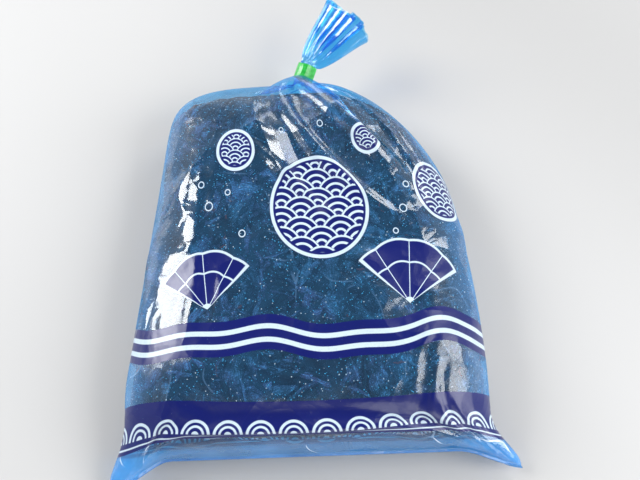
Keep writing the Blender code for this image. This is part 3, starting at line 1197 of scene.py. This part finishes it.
@dataclass(frozen=True)
class PackedWakame:
    """Salted fronds pressed into one mass: a lumpy core, ribbons over it and salt among them."""

    fill: FillForm
    fronds: int = 1200
    rows: int = 15
    grains: int = 9000
    scraps: int = 90
    round_length: float = 0.43
    lowest: float = 0.0007
    least_depth: float = 0.00012
    reach: float = 0.985
    core_reach: float = 0.975
    core_depth: float = 0.0029
    core_lumps: float = 0.0011
    core_grid: tuple[int, int] = (90, 150)
    wide: RibbonKind = RibbonKind((0.030, 0.090), (0.0028, 0.0085), 0.0026)
    narrow: RibbonKind = RibbonKind((0.015, 0.060), (0.0007, 0.0024), 0.0014)
    scrap: RibbonKind = RibbonKind((0.003, 0.009), (0.0004, 0.0009), 0.0009)

    def turn_at(self, around: Array) -> Array:
        """The section's angle at a distance round it, from the right side over the top.

        Args:
            around: Distance in metres.

        Returns:
            The angle.
        """
        angle = np.linspace(0, 2 * math.pi, FINE + 1)
        length = run_length(self.fill.skin(angle, np.full(FINE + 1, -0.02)))
        return np.interp((around / self.round_length) % 1.0, length / length[-1], angle)

    def laid(self, around: Array, y: Array, depth: Array) -> Array:
        """Points in the mass at a depth below its surface.

        Args:
            around: Distance round the section.
            y: Where the section is.
            depth: How far below the surface.

        Returns:
            Points, (..., 3).
        """
        reach = self.reach * self.fill.half_length
        y = self.fill.middle_y + np.clip(y - self.fill.middle_y, -reach, reach)
        skin = self.fill.skin(self.turn_at(around), y)
        p = skin - self.fill.slope(skin) * depth[..., None]
        p[..., 2] = np.maximum(p[..., 2], self.lowest)
        return p

    def build_core(self, material: bpy.types.Material) -> bpy.types.Object:
        """Makes the core: the fill's own surface pushed in by 1.2 mm to 4 mm, with a ripple of long
        creases and lumps. Its rows draw together towards both ends, where they close in a fan.

        Args:
            material: The wakame.

        Returns:
            The piece.
        """
        rows, columns = self.core_grid
        station = -np.cos(math.pi * (np.arange(rows) + 1) / (rows + 1))
        y = self.fill.middle_y + self.core_reach * self.fill.half_length * station
        around = self.round_length * np.arange(columns) / columns
        u, v = np.broadcast_arrays(around[None, :], y[:, None])
        lumps = np.sin(150 * u + 90 * v) * np.sin(170 * v - 60 * u)
        lumps = lumps + 0.6 * np.sin(310 * u + 2 * np.sin(140 * v))
        p = self.laid(u, v, self.core_depth + self.core_lumps * lumps)
        ends = p[[0, -1]].mean(axis=1)
        points = np.concatenate([p.reshape(-1, 3), ends])
        faces = grid_faces(rows, columns)[:, ::-1].tolist()
        ring = np.arange(columns)
        after = (ring + 1) % columns
        first, top = rows * columns, (rows - 1) * columns
        faces += np.stack([np.full(columns, first), ring, after], axis=1).tolist()
        faces += np.stack([np.full(columns, first + 1), top + after, top + ring], axis=1).tolist()
        piece = make_piece("wakame_mass", points, faces)
        chart = np.concatenate([np.stack([u, v], axis=-1).reshape(-1, 2), np.zeros((2, 2))])
        keep_chart(piece, "blade", chart)
        keep_on_mesh(piece, "shade", np.full(len(points), 0.12))
        place_piece(piece, material, "salted_wakame", *HANDFULS)
        return piece

    def ribbons(self, draw: np.random.Generator, count: int, kind: RibbonKind) -> tuple:
        """Frond ribbons that wander over the mass.

        Each path turns slowly as it goes. A ribbon's section has four points: its two edges, which
        wave up and down out of step, and the middle of its upper and lower side.

        Args:
            draw: Source of random draws.
            count: How many ribbons.
            kind: Their sizes.

        Returns:
            Points (count, rows, 4, 3) and the chart (count, rows, 4, 2) of metres across and along.
        """
        share = np.linspace(-0.5, 0.5, self.rows)[None, :]
        one = (count, 1)

        def some(low: float, high: float) -> Array:
            """One random number between two for each ribbon."""
            return draw.uniform(low, high, one)

        def sway(angle: Array) -> Array:
            """A sine that starts anywhere on each ribbon."""
            return np.sin(angle + some(0, 6))

        def path(start: Array, steps: Array) -> Array:
            """The steps' sum, with its middle at the start."""
            walked = np.cumsum(steps, axis=1)
            return start + walked - walked.mean(axis=1, keepdims=True)

        size = some(*kind.length)
        heading = some(0, 2 * math.pi) + draw.normal(0, 0.7, one) * share * 2
        heading = heading + some(0.1, 0.5) * sway(share * some(5, 14))
        stride = size / (self.rows - 1)
        start_u = some(0, self.round_length)
        start_v = some(-0.100, 0.096)
        u = path(start_u, np.cos(heading) * stride)
        v = path(start_v, np.sin(heading) * stride)
        half = some(*kind.half_width) * (1 - np.abs(2 * share) ** 2.5) ** 0.7
        half = np.maximum(half * (1 + 0.28 * sway(share * some(15, 40))), 0.0002)
        deep = some(0.0007, kind.deepest) + 0.0004 * sway(share * 9)
        wave = some(18, 42)
        left = deep + some(0.0002, 0.0011) * sway(share * wave)
        right = deep + some(0.0002, 0.0011) * sway(share * wave * 1.1)
        thick = some(0.00022, 0.00045) + 0 * share
        depths = np.stack([left, deep - thick, right, deep + thick], axis=-1)
        sides = np.array([1.0, 0.0, -1.0, 0.0])
        us = u[..., None] + (-np.sin(heading) * half)[..., None] * sides
        vs = v[..., None] + (np.cos(heading) * half)[..., None] * sides
        points = self.laid(us, vs, np.maximum(depths, self.least_depth))
        offset = draw.uniform(0, 3, (count, 1, 1, 2))
        along = np.broadcast_to((share * size)[..., None], us.shape)
        chart = np.stack([half[..., None] * sides + 0 * us, along], axis=-1) + offset
        return points, chart

    def build_fronds(
        self, draw: np.random.Generator, material: bpy.types.Material
    ) -> bpy.types.Object:
        """Makes all ribbons as one piece: long fronds, narrow torn strips and small brown scraps.

        Args:
            draw: Source of random draws.
            material: The wakame.

        Returns:
            The piece.
        """
        strips = self.fronds // 2
        kinds = [
            self.ribbons(draw, self.fronds - strips, self.wide),
            self.ribbons(draw, strips, self.narrow),
            self.ribbons(draw, self.scraps, self.scrap),
        ]
        points = np.concatenate([kind[0] for kind in kinds])
        chart = np.concatenate([kind[1] for kind in kinds])
        count = len(points)
        quads = grid_faces(self.rows, 4)
        block = self.rows * 4
        faces = (quads[None] + block * np.arange(count)[:, None, None]).reshape(-1, 4).tolist()
        first = block * np.arange(count)[:, None]
        faces += (first + np.array([3, 2, 1, 0])).tolist()
        faces += (first + block - 4 + np.arange(4)).tolist()
        piece = make_piece("wakame_fronds", points.reshape(-1, 3), faces)
        keep_chart(piece, "blade", chart.reshape(-1, 2))
        shades = [draw.uniform(0.20, 0.85, self.fronds), np.full(self.scraps, -1.0)]
        keep_on_mesh(piece, "shade", np.repeat(np.concatenate(shades), block))
        place_piece(piece, material, "salted_wakame", *HANDFULS)
        return piece

    def build_salt(
        self, draw: np.random.Generator, material: bpy.types.Material
    ) -> bpy.types.Object:
        """Makes the salt: small turned cubes between the fronds and the film.

        Args:
            draw: Source of random draws.
            material: The salt.

        Returns:
            The piece.
        """
        count = self.grains
        size = 0.5 * draw.uniform(0.00020, 0.00055, count) * draw.uniform(0.7, 1.0, count)
        where = self.laid(
            draw.uniform(0, self.round_length, count),
            draw.uniform(-0.096, 0.092, count),
            size * 1.5 + draw.uniform(0, 0.0004, count),
        )
        turns = draw.normal(size=(count, 4))
        w, x, y, z = (turns / np.linalg.norm(turns, axis=1, keepdims=True)).T
        first = [1 - 2 * (y * y + z * z), 2 * (x * y + w * z), 2 * (x * z - w * y)]
        second = [2 * (x * y - w * z), 1 - 2 * (x * x + z * z), 2 * (y * z + w * x)]
        first, second = np.stack(first, axis=1), np.stack(second, axis=1)
        axes = np.stack([first, second, np.cross(first, second)], axis=1) * size[:, None, None]
        ring = ((-1, -1), (1, -1), (1, 1), (-1, 1))
        signs = np.array([(*corner, height) for height in (-1, 1) for corner in ring], float)
        points = where[:, None] + np.einsum("ks,nsd->nkd", signs, axes)
        sides = [(k, (k + 1) % 4, (k + 1) % 4 + 4, k + 4) for k in range(4)]
        box = np.array([(3, 2, 1, 0), (4, 5, 6, 7), *sides])
        faces = (box[None] + 8 * np.arange(count)[:, None, None]).reshape(-1, 4)
        piece = make_piece("salt_grains", points.reshape(-1, 3), faces, smooth=False)
        place_piece(piece, material, "salted_wakame", *HANDFULS)
        return piece


# Finishes


ROUNDELS = (  # across, up, radius, radius of its scales
    (0.010, 0.150, 0.0310, 0.0118),
    (-0.044, 0.184, 0.0135, 0.0074),
    (0.050, 0.190, 0.0100, 0.0062),
    (0.090, 0.158, 0.0185, 0.0086),
)

FANS = (  # across, up, radius, lean
    (-0.056, 0.092, 0.0320, -0.18),
    (0.058, 0.092, 0.0360, 0.12),
)

RINGS = (  # across, up, radius
    (-0.060, 0.150, 0.0024),
    (-0.048, 0.158, 0.0016),
    (-0.066, 0.163, 0.0018),
    (-0.038, 0.134, 0.0019),
    (0.062, 0.146, 0.0022),
    (0.055, 0.133, 0.0015),
    (0.067, 0.160, 0.0017),
    (0.020, 0.203, 0.0020),
    (-0.012, 0.198, 0.0015),
)


@dataclass(frozen=True)
class Print:
    """The bag's printing in flat film coordinates: roundels of overlapping scales, two fans, small
    rings, a band of swells, and a dark hem with a row of arches."""

    graph: Graph
    across: Value
    up: Value
    edge: float = 0.00022
    arch_pitch: float = 0.0174

    def within(self, distance: Value, reach: float) -> Value:
        """1 where distance is less than reach."""
        return distance.step(reach + self.edge, reach - self.edge)

    def line(self, distance: Value, at: float, half: float) -> Value:
        """1 within half of the place where distance is at."""
        return self.within(abs(distance - at), half)

    def away(self, across: float, up: float) -> tuple[Value, Value, Value]:
        """Offsets from a point and the distance to it."""
        x, y = self.across - across, self.up - up
        return x, y, (x * x + y * y) ** 0.5

    def scales(self, x: Value, y: Value, radius: float) -> Value:
        """Overlapping scales, each with three arcs: rows of circles half a radius apart and set off
        by a radius in turn, where the lowest circle over a point is the one that shows.

        Args:
            x: Offset across.
            y: Offset up.
            radius: Of one scale.

        Returns:
            1 on the arcs.
        """
        height = y / (0.5 * radius)
        row = height.floor()
        part, odd = height - row, row.wrap(2.0)

        def ring(shift: Value, rise: Value) -> Value:
            """Distance to the nearest centre of a row."""
            aside = (x + radius + shift * radius).wrap(2 * radius) - radius
            return (aside * aside + (rise * (0.5 * radius)) ** 2) ** 0.5

        even = 1.0 - odd
        below, level, over = ring(even, part + 1.0), ring(odd, part), ring(even, 1.0 - part)
        in_below = self.within(below, radius)
        in_level = self.within(level, radius)
        rest = level * in_level + over * (1.0 - in_level)
        shown = below * in_below + rest * (1.0 - in_below)
        arcs = (shown / radius * 3.0 + 0.62).wrap(1.0)
        return abs(arcs - 0.5).step(0.20, 0.15)

    def roundel(self, across: float, up: float, radius: float, scale: float) -> tuple[Value, Value]:
        """A disc with a pale rim, filled with scales.

        Args:
            across: Of its centre.
            up: Of its centre.
            radius: Of the disc.
            scale: Radius of one scale.

        Returns:
            Its ink, and its pale ink.
        """
        x, y, distance = self.away(across, up)
        rim = self.line(distance, radius - 0.0012, 0.0010)
        inside = self.within(distance, radius - 0.0036)
        return self.within(distance, radius), rim.most(inside * self.scales(x, y, scale))

    def fan(self, across: float, up: float, radius: float, lean: float) -> tuple[Value, Value]:
        """An open folding fan: a sector whose outer edge has shallow lobes, with a pale border,
        ribs that meet at its foot and an arc across them.

        Args:
            across: Of its foot.
            up: Of its foot.
            radius: From the foot to the edge.
            lean: How far it is turned, in radians.

        Returns:
            Its ink, and its pale ink.
        """
        x, y, distance = self.away(across, up)
        angle = self.graph.math("ARCTAN2", x, y) - lean
        rim = distance - 0.0011 * abs((angle * 5.1).sine())
        sector = self.within(rim, radius) * abs(angle).step(0.96, 0.94)
        inner = self.within(rim, radius - 0.0014) * abs(angle).step(0.90, 0.88)
        inner = inner * distance.step(0.0030, 0.0034)
        ribs = abs((angle * 5.1 / math.pi).wrap(1.0) - 0.5)
        ray = ((0.5 - ribs) * distance).step(0.00050, 0.00025)
        arc = self.line(rim, radius * 0.62, 0.0005)
        return sector, ray.most(arc).most(1.0 - inner) * sector

    def ring(self, across: float, up: float, radius: float) -> tuple[Value, Value]:
        """A small thin ring, all of it pale."""
        circle = self.line(self.away(across, up)[2], radius, 0.00035)
        return circle, circle

    def band(self) -> tuple[Value, Value]:
        """A dark band of swells, two sines long and short, with two pale stripes.

        Returns:
            Its ink, and its pale ink.
        """
        long_swell = self.up + 0.0026 * (self.across * 62.0).sine()
        swell = long_swell + 0.0012 * (self.across * 131.0 + 1.0).sine()
        stripes = self.line(swell, 0.0795, 0.0013).most(self.line(swell, 0.0725, 0.0013))
        return self.line(swell, 0.0765, 0.0092), stripes

    def hem(self) -> tuple[Value, Value]:
        """A dark hem with a thin line and a row of arches, each two arcs over a half disc.

        Returns:
            Its ink, and its pale ink.
        """
        x = self.across.wrap(self.arch_pitch) - 0.5 * self.arch_pitch
        y = self.up - 0.0272
        distance = (x * x + y * y) ** 0.5
        arcs = self.line(distance, 0.0072, 0.00075).most(self.line(distance, 0.0044, 0.00060))
        arches = arcs.most(self.within(distance, 0.0019)) * y.step(-0.0002, 0.0002)
        return self.line(self.up, 0.0335, 0.0112), arches + self.line(self.up, 0.0245, 0.0004)

    def inks(self, front: Value) -> tuple[Value, Value]:
        """All of the printing.

        Args:
            front: 1 on the bag's front and 0 on its back.

        Returns:
            How much ink there is, and how much of it is the pale one.
        """
        motifs = [self.roundel(*sizes) for sizes in ROUNDELS]
        motifs += [self.fan(*sizes) for sizes in FANS]
        motifs += [self.ring(*sizes) for sizes in RINGS]
        ink, pale = motifs[0]
        for more_ink, more_pale in motifs[1:]:
            ink, pale = ink.most(more_ink), pale.most(more_pale)
        ink, pale = ink * front, pale * front
        for more_ink, more_pale in (self.band(), self.hem()):
            ink, pale = ink.most(more_ink), pale.most(more_pale)
        return ink, pale


FOLDS = (  # X and Y of both ends, from crest to foot, height
    ((-0.018, 0.079), (-0.002, 0.032), 0.0060, 0.0035),
    ((0.030, 0.078), (0.060, 0.018), 0.0090, 0.0023),
    ((0.048, -0.052), (0.095, -0.054), 0.0120, 0.0034),
    ((-0.082, -0.020), (-0.094, -0.060), 0.0060, 0.0020),
)


@dataclass(frozen=True)
class FilmFinish:
    """Blue-tinted clear film, printed in navy and pale ink."""

    through: tuple[float, float, float] = (0.28, 0.73, 0.985)
    # Milky colour: the film's own haze, and painted sheen where more of it is mixed in.
    haze_and_sheen: tuple[float, float, float] = (0.045, 0.37, 0.92)
    # Colour of painted glints: salt specks under the film, drawn white over its tint.
    salt: tuple[float, float, float] = (0.70, 0.86, 1.0)
    navy: tuple[float, float, float] = (0.003, 0.008, 0.135)
    pale: tuple[float, float, float] = (0.62, 0.76, 0.88)

    @staticmethod
    def fold(graph: Graph, place: Value, start: tuple, end: tuple, reach: float) -> Value:
        """A flat-sided fold, 1 on its crest, seen from above.

        Args:
            graph: The film's graph.
            place: Object coordinates.
            start: X and Y of one end.
            end: X and Y of the other.
            reach: From the crest to the foot.

        Returns:
            The height as a share.
        """
        x, y, _ = graph.parts(place)
        x, y = x - start[0], y - start[1]
        length = math.dist(start, end)
        ux, uy = (end[0] - start[0]) / length, (end[1] - start[1]) / length
        along = x * ux + y * uy
        across = abs(x * -uy + y * ux + 0.0012 * graph.noise(place, 60.0))
        ends = along.step(0.0, 0.35 * length) * along.step(length, 0.65 * length)
        return (1.0 - across / reach).most(0.0) * ends

    def dents(self, graph: Graph, place: Value) -> tuple[Value, Value]:
        """Crumpled film: flat-sided dents of two sizes that meet in creases, and fine ripples.

        Args:
            graph: The film's graph.
            place: Object coordinates, which are bent first.

        Returns:
            Heights in metres, and 1 along some of the creases, where painted white highlights lie.
        """
        cloud = {"Vector": place, "Scale": 28.0, "Detail": 1.0}
        bent = graph.node("ShaderNodeTexNoise", {}, cloud, out="Color")
        sums = {0: bent, 1: (0.030,) * 3, 2: place}
        warped = graph.node("ShaderNodeVectorMath", {"operation": "MULTIPLY_ADD"}, sums)
        height = abs(graph.noise(place, 75.0, detail=1.2, bend=0.8) - 0.5) * -0.0005
        for start, end, reach, rise in FOLDS:
            height = height + self.fold(graph, place, start, end, reach) * rise
        for scale, slope in ((26.0, 0.10), (62.0, 0.05)):
            height = height + graph.cells(warped, scale) * (slope / scale)
        crease = graph.cells(warped, 26.0, "DISTANCE_TO_EDGE").step(0.013, 0.003)
        return height, crease * graph.noise(place, 45.0, detail=2.0).step(0.50, 0.60)

    def material(self) -> bpy.types.Material:
        """A film that lets tinted light through, with a mirror-like face and a faint milky part:
        partly the film's own haze and partly painted sheen, more where the film stands off the
        wakame, at the sides and below the hem, in place of the light that these parts reflect.

        Returns:
            The film's material.
        """
        graph = new_material("printed_blue_film")
        across, up = graph.uv("flat")
        place = graph.place()
        height, lines = self.dents(graph, place)
        normal = graph.bump(height, 1.0)
        fresnel = graph.node("ShaderNodeFresnel", {}, {"IOR": 1.45, "Normal": normal})
        clear = graph.node("ShaderNodeBsdfTransparent", {}, {"Color": self.through})
        # Painted glints: white specks where the film lies on the wakame, standing for salt grains
        # under it that sparkle in the light.
        grains = graph.cells(place, 460.0).step(0.17, 0.11) * graph.attribute("close")
        grains = grains * graph.noise(place, 300.0, detail=2.0).step(0.44, 0.58)
        lift = graph.attribute("lift")
        # The crease lines are painted white highlights, strongest where the film stands off the
        # wakame.
        lines = lines * (0.15 + 0.45 * lift)
        white = graph.mix(grains.most(lines * 1.6), self.haze_and_sheen, self.salt)
        # Milky surface: the film's own haze together with painted sheen.
        milk_and_sheen = graph.shader(Base_Color=white, Roughness=0.35, Normal=normal)
        gloss = 0.11 + 0.10 * graph.noise(place, 17.0, detail=1.0).step(0.40, 0.62)
        bright = (1.0, 1.0, 1.0)
        mirror = graph.shader(Base_Color=bright, Metallic=1.0, Roughness=gloss, Normal=normal)
        # Painted sheen: the milky share grows where the film stands off the wakame, by the side
        # creases and below the hem, in place of reflected light; the rest is the film's own haze.
        share = graph.noise(place, 60.0).step(0.30, 0.90) * 0.05 + 0.065
        share = share + lift * graph.noise(place, 40.0, detail=3.0).step(0.40, 0.66) * 0.10
        side = graph.attribute("side") * graph.noise(place, 50.0, detail=3.0).step(0.15, 0.60)
        share = share + side * 0.32 + up.step(0.022, 0.012) * 0.30
        film = graph.mix_shader(share + grains * 0.6 + lines, clear, milk_and_sheen)
        film = graph.mix_shader((fresnel * 2.1).least(0.17), film, mirror)
        ink, pale = Print(graph, across, up).inks(graph.attribute("front"))
        rub = graph.noise(place, 900.0, detail=4.0).step(0.30, 0.48)
        printed = graph.shader(
            Base_Color=graph.mix(pale, self.navy, self.pale),
            Roughness=0.30,
            Specular_IOR_Level=0.35,
            Coat_Weight=0.4,
            Coat_Roughness=0.10,
            Normal=normal,
        )
        return graph.finish(graph.mix_shader(ink * (0.88 + 0.10 * rub), film, printed))


@dataclass(frozen=True)
class TapeFinish:
    """Glossy green plastic tape."""

    colour: tuple[float, float, float] = (0.015, 0.42, 0.045)
    light: tuple[float, float, float] = (0.05, 0.60, 0.10)

    def material(self) -> bpy.types.Material:
        """The tape, a little uneven where it stretched.

        Returns:
            The material.
        """
        graph = new_material("green_tape_film")
        cloud = graph.noise(graph.place(), 420.0, detail=3.0)
        tape = graph.shader(
            Base_Color=graph.mix(cloud.step(0.3, 0.75), self.colour, self.light),
            Roughness=0.26,
            Coat_Weight=0.6,
            Coat_Roughness=0.08,
            Normal=graph.bump(cloud, 0.00025, 0.35),
        )
        return graph.finish(tape)


@dataclass(frozen=True)
class WakameFinish:
    """Salted wakame: dark fronds with fibres, dusted grey with salt, and brown scraps."""

    dark: tuple[float, float, float] = (0.006, 0.004, 0.006)
    green: tuple[float, float, float] = (0.160, 0.118, 0.130)
    mauve: tuple[float, float, float] = (0.440, 0.070, 0.130)
    salted: tuple[float, float, float] = (0.98, 0.56, 0.72)
    brown: tuple[float, float, float] = (0.90, 0.060, 0.03)

    def material(self) -> bpy.types.Material:
        """The fronds' surface.

        Returns:
            The material.
        """
        graph = new_material("salted_fronds")
        shade = graph.attribute("shade")
        blade = graph.node("ShaderNodeUVMap", {"uv_map": "blade"})
        place = graph.place()
        drawn = graph.stretched(blade, (2200.0, 230.0, 1.0))
        fibre = graph.noise(drawn, 1.0, detail=4.0, rough=0.65)
        cloud = graph.noise(place, 120.0, detail=4.0, rough=0.65)
        wide = graph.noise(place, 34.0, detail=2.0)
        dust = graph.noise(place, 1500.0, detail=3.0, rough=0.75)
        hue = graph.mix(wide.step(0.42, 0.56), self.green, self.mauve)
        depth = cloud * 0.9 + shade * 0.55 + dust * 0.35
        base = graph.mix(depth.step(0.80, 1.14), self.dark, hue)
        salt = (fibre * 1.3 + dust * 1.0 + shade * 0.35 + cloud * 0.6).step(1.66, 2.05)
        colour = graph.mix(salt * 0.85, base, self.salted)
        colour = graph.mix(shade.step(-0.4, -0.6), colour, self.brown)
        normal = graph.bump(fibre + cloud + dust * 0.6, 0.0008, 0.8)
        frond = graph.shader(Base_Color=colour, Roughness=0.42 + 0.3 * dust, Normal=normal)
        return graph.finish(frond)


@dataclass(frozen=True)
class SaltFinish:
    """White salt crystals."""

    white: tuple[float, float, float] = (0.86, 0.88, 0.90)
    grey: tuple[float, float, float] = (0.62, 0.66, 0.70)

    def material(self) -> bpy.types.Material:
        """The crystals, some clearer than others.

        Returns:
            The material.
        """
        graph = new_material("salt_crystals")
        cloud = graph.noise(graph.place(), 700.0)
        colour = graph.mix(cloud.step(0.35, 0.65), self.white, self.grey)
        return graph.finish(graph.shader(Base_Color=colour, Roughness=0.18, Coat_Weight=0.4))


# The table, lights and camera


class LightKind(Enum):
    """What a studio light is for."""

    KEY = "key"
    FILL = "fill"
    FRONT = "front"
    SIDE = "side"
    RIM = "rim"


@dataclass(frozen=True)
class Softbox:
    """One large square light that looks at the bag."""

    kind: LightKind
    place: tuple[float, float, float]
    size: float
    power: float

    def build(self) -> None:
        """Adds the light."""
        light = bpy.data.lights.new(f"{self.kind.value}_light", "AREA")
        light.energy, light.size = self.power, self.size
        lamp = bpy.data.objects.new(light.name, light)
        lamp.location = self.place
        towards = Vector((0, 0, 0.02)) - lamp.location
        lamp.rotation_euler = towards.to_track_quat("-Z", "Y").to_euler()
        bpy.context.scene.collection.objects.link(lamp)
        log.info("%s light", self.kind.value)


@dataclass(frozen=True)
class Studio:
    """A pale table under soft light, seen from high in front."""

    azimuth: float = math.radians(-2)
    elevation: float = math.radians(68)
    distance: float = 0.50
    target: tuple[float, float, float] = (0.0097, 0.009, 0.02)
    lens: float = 50.0
    boxes: tuple[Softbox, ...] = (
        Softbox(LightKind.KEY, (-0.85, 0.40, 0.66), 0.55, 10.8),
        Softbox(LightKind.FILL, (0.85, -0.22, 0.62), 0.75, 9.2),
        Softbox(LightKind.FRONT, (0.10, -0.95, 0.28), 0.45, 1.6),
        Softbox(LightKind.SIDE, (0.60, 0.66, 0.58), 0.40, 2.8),
        Softbox(LightKind.RIM, (0.05, 1.00, 0.45), 0.32, 1.1),
    )

    def build_floor(self) -> None:
        """Adds the table top, painted a little darker towards its far right as painted shade where
        less light falls.
        """
        reach = 1.5
        corners = [(-reach, -reach, 0), (reach, -reach, 0), (reach, reach, 0), (-reach, reach, 0)]
        floor = make_piece("table_top", np.array(corners, float), [(0, 1, 2, 3)], smooth=False)
        graph = new_material("pale_table")
        x, y, _ = graph.parts(graph.place())
        # Painted shade: the colour falls from 0.60 to 0.49 towards the far right, in place of the
        # light falling off.
        colour = graph.mix((x + y).step(0.08, 0.36), (0.60,) * 3, (0.49,) * 3)
        floor.data.materials.append(graph.finish(graph.shader(Base_Color=colour, Roughness=0.6)))

    def build_world(self) -> None:
        """Sets the surrounding light: white walls under a dimmer ceiling."""
        graph = Graph(bpy.data.worlds.new("soft_room"))
        height = graph.parts(graph.node("ShaderNodeTexCoord", out="Generated"))[2]
        stops = [
            (place, (0.96 * light, 0.98 * light, light))
            for place, light in ((0.45, 0.64), (0.80, 0.17))
        ]
        colour = graph.node("ShaderNodeValToRGB", {"stops": stops}, {"Fac": height})
        room = graph.node("ShaderNodeBackground", {}, {"Color": colour})
        bpy.context.scene.world = graph.finish(room)

    def build_camera(self) -> None:
        """Places the camera."""
        a, e = self.azimuth, self.elevation
        back = Vector((math.sin(a) * math.cos(e), -math.cos(a) * math.cos(e), math.sin(e)))
        camera = bpy.data.cameras.new("photo_view")
        camera.lens = self.lens
        eye = bpy.data.objects.new("photo_view", camera)
        eye.location = Vector(self.target) + back * self.distance
        eye.rotation_euler = (-back).to_track_quat("-Z", "Y").to_euler()
        bpy.context.scene.collection.objects.link(eye)
        bpy.context.scene.camera = eye

    def build(self) -> None:
        """Builds the whole studio."""
        self.build_floor()
        self.build_world()
        self.build_camera()
        for box in self.boxes:
            box.build()
        bpy.context.scene.cycles.transparent_max_bounces = 64
        bpy.context.scene.view_settings.view_transform = "Standard"


def main() -> None:
    """Builds the bag, its fronds and the studio."""
    logging.basicConfig(level=logging.INFO, format="%(name)s: %(message)s")
    draw = np.random.default_rng(SEED + 1)
    bag = BagForm()
    fill = FillForm(bag)
    BagFilm(bag, fill).build(FilmFinish().material())
    NeckTape(bag).build(TapeFinish().material())
    wakame = PackedWakame(fill)
    fronds = WakameFinish().material()
    wakame.build_core(fronds)
    wakame.build_fronds(draw, fronds)
    wakame.build_salt(draw, SaltFinish().material())
    Studio().build()


if __name__ == "__main__":
    main()
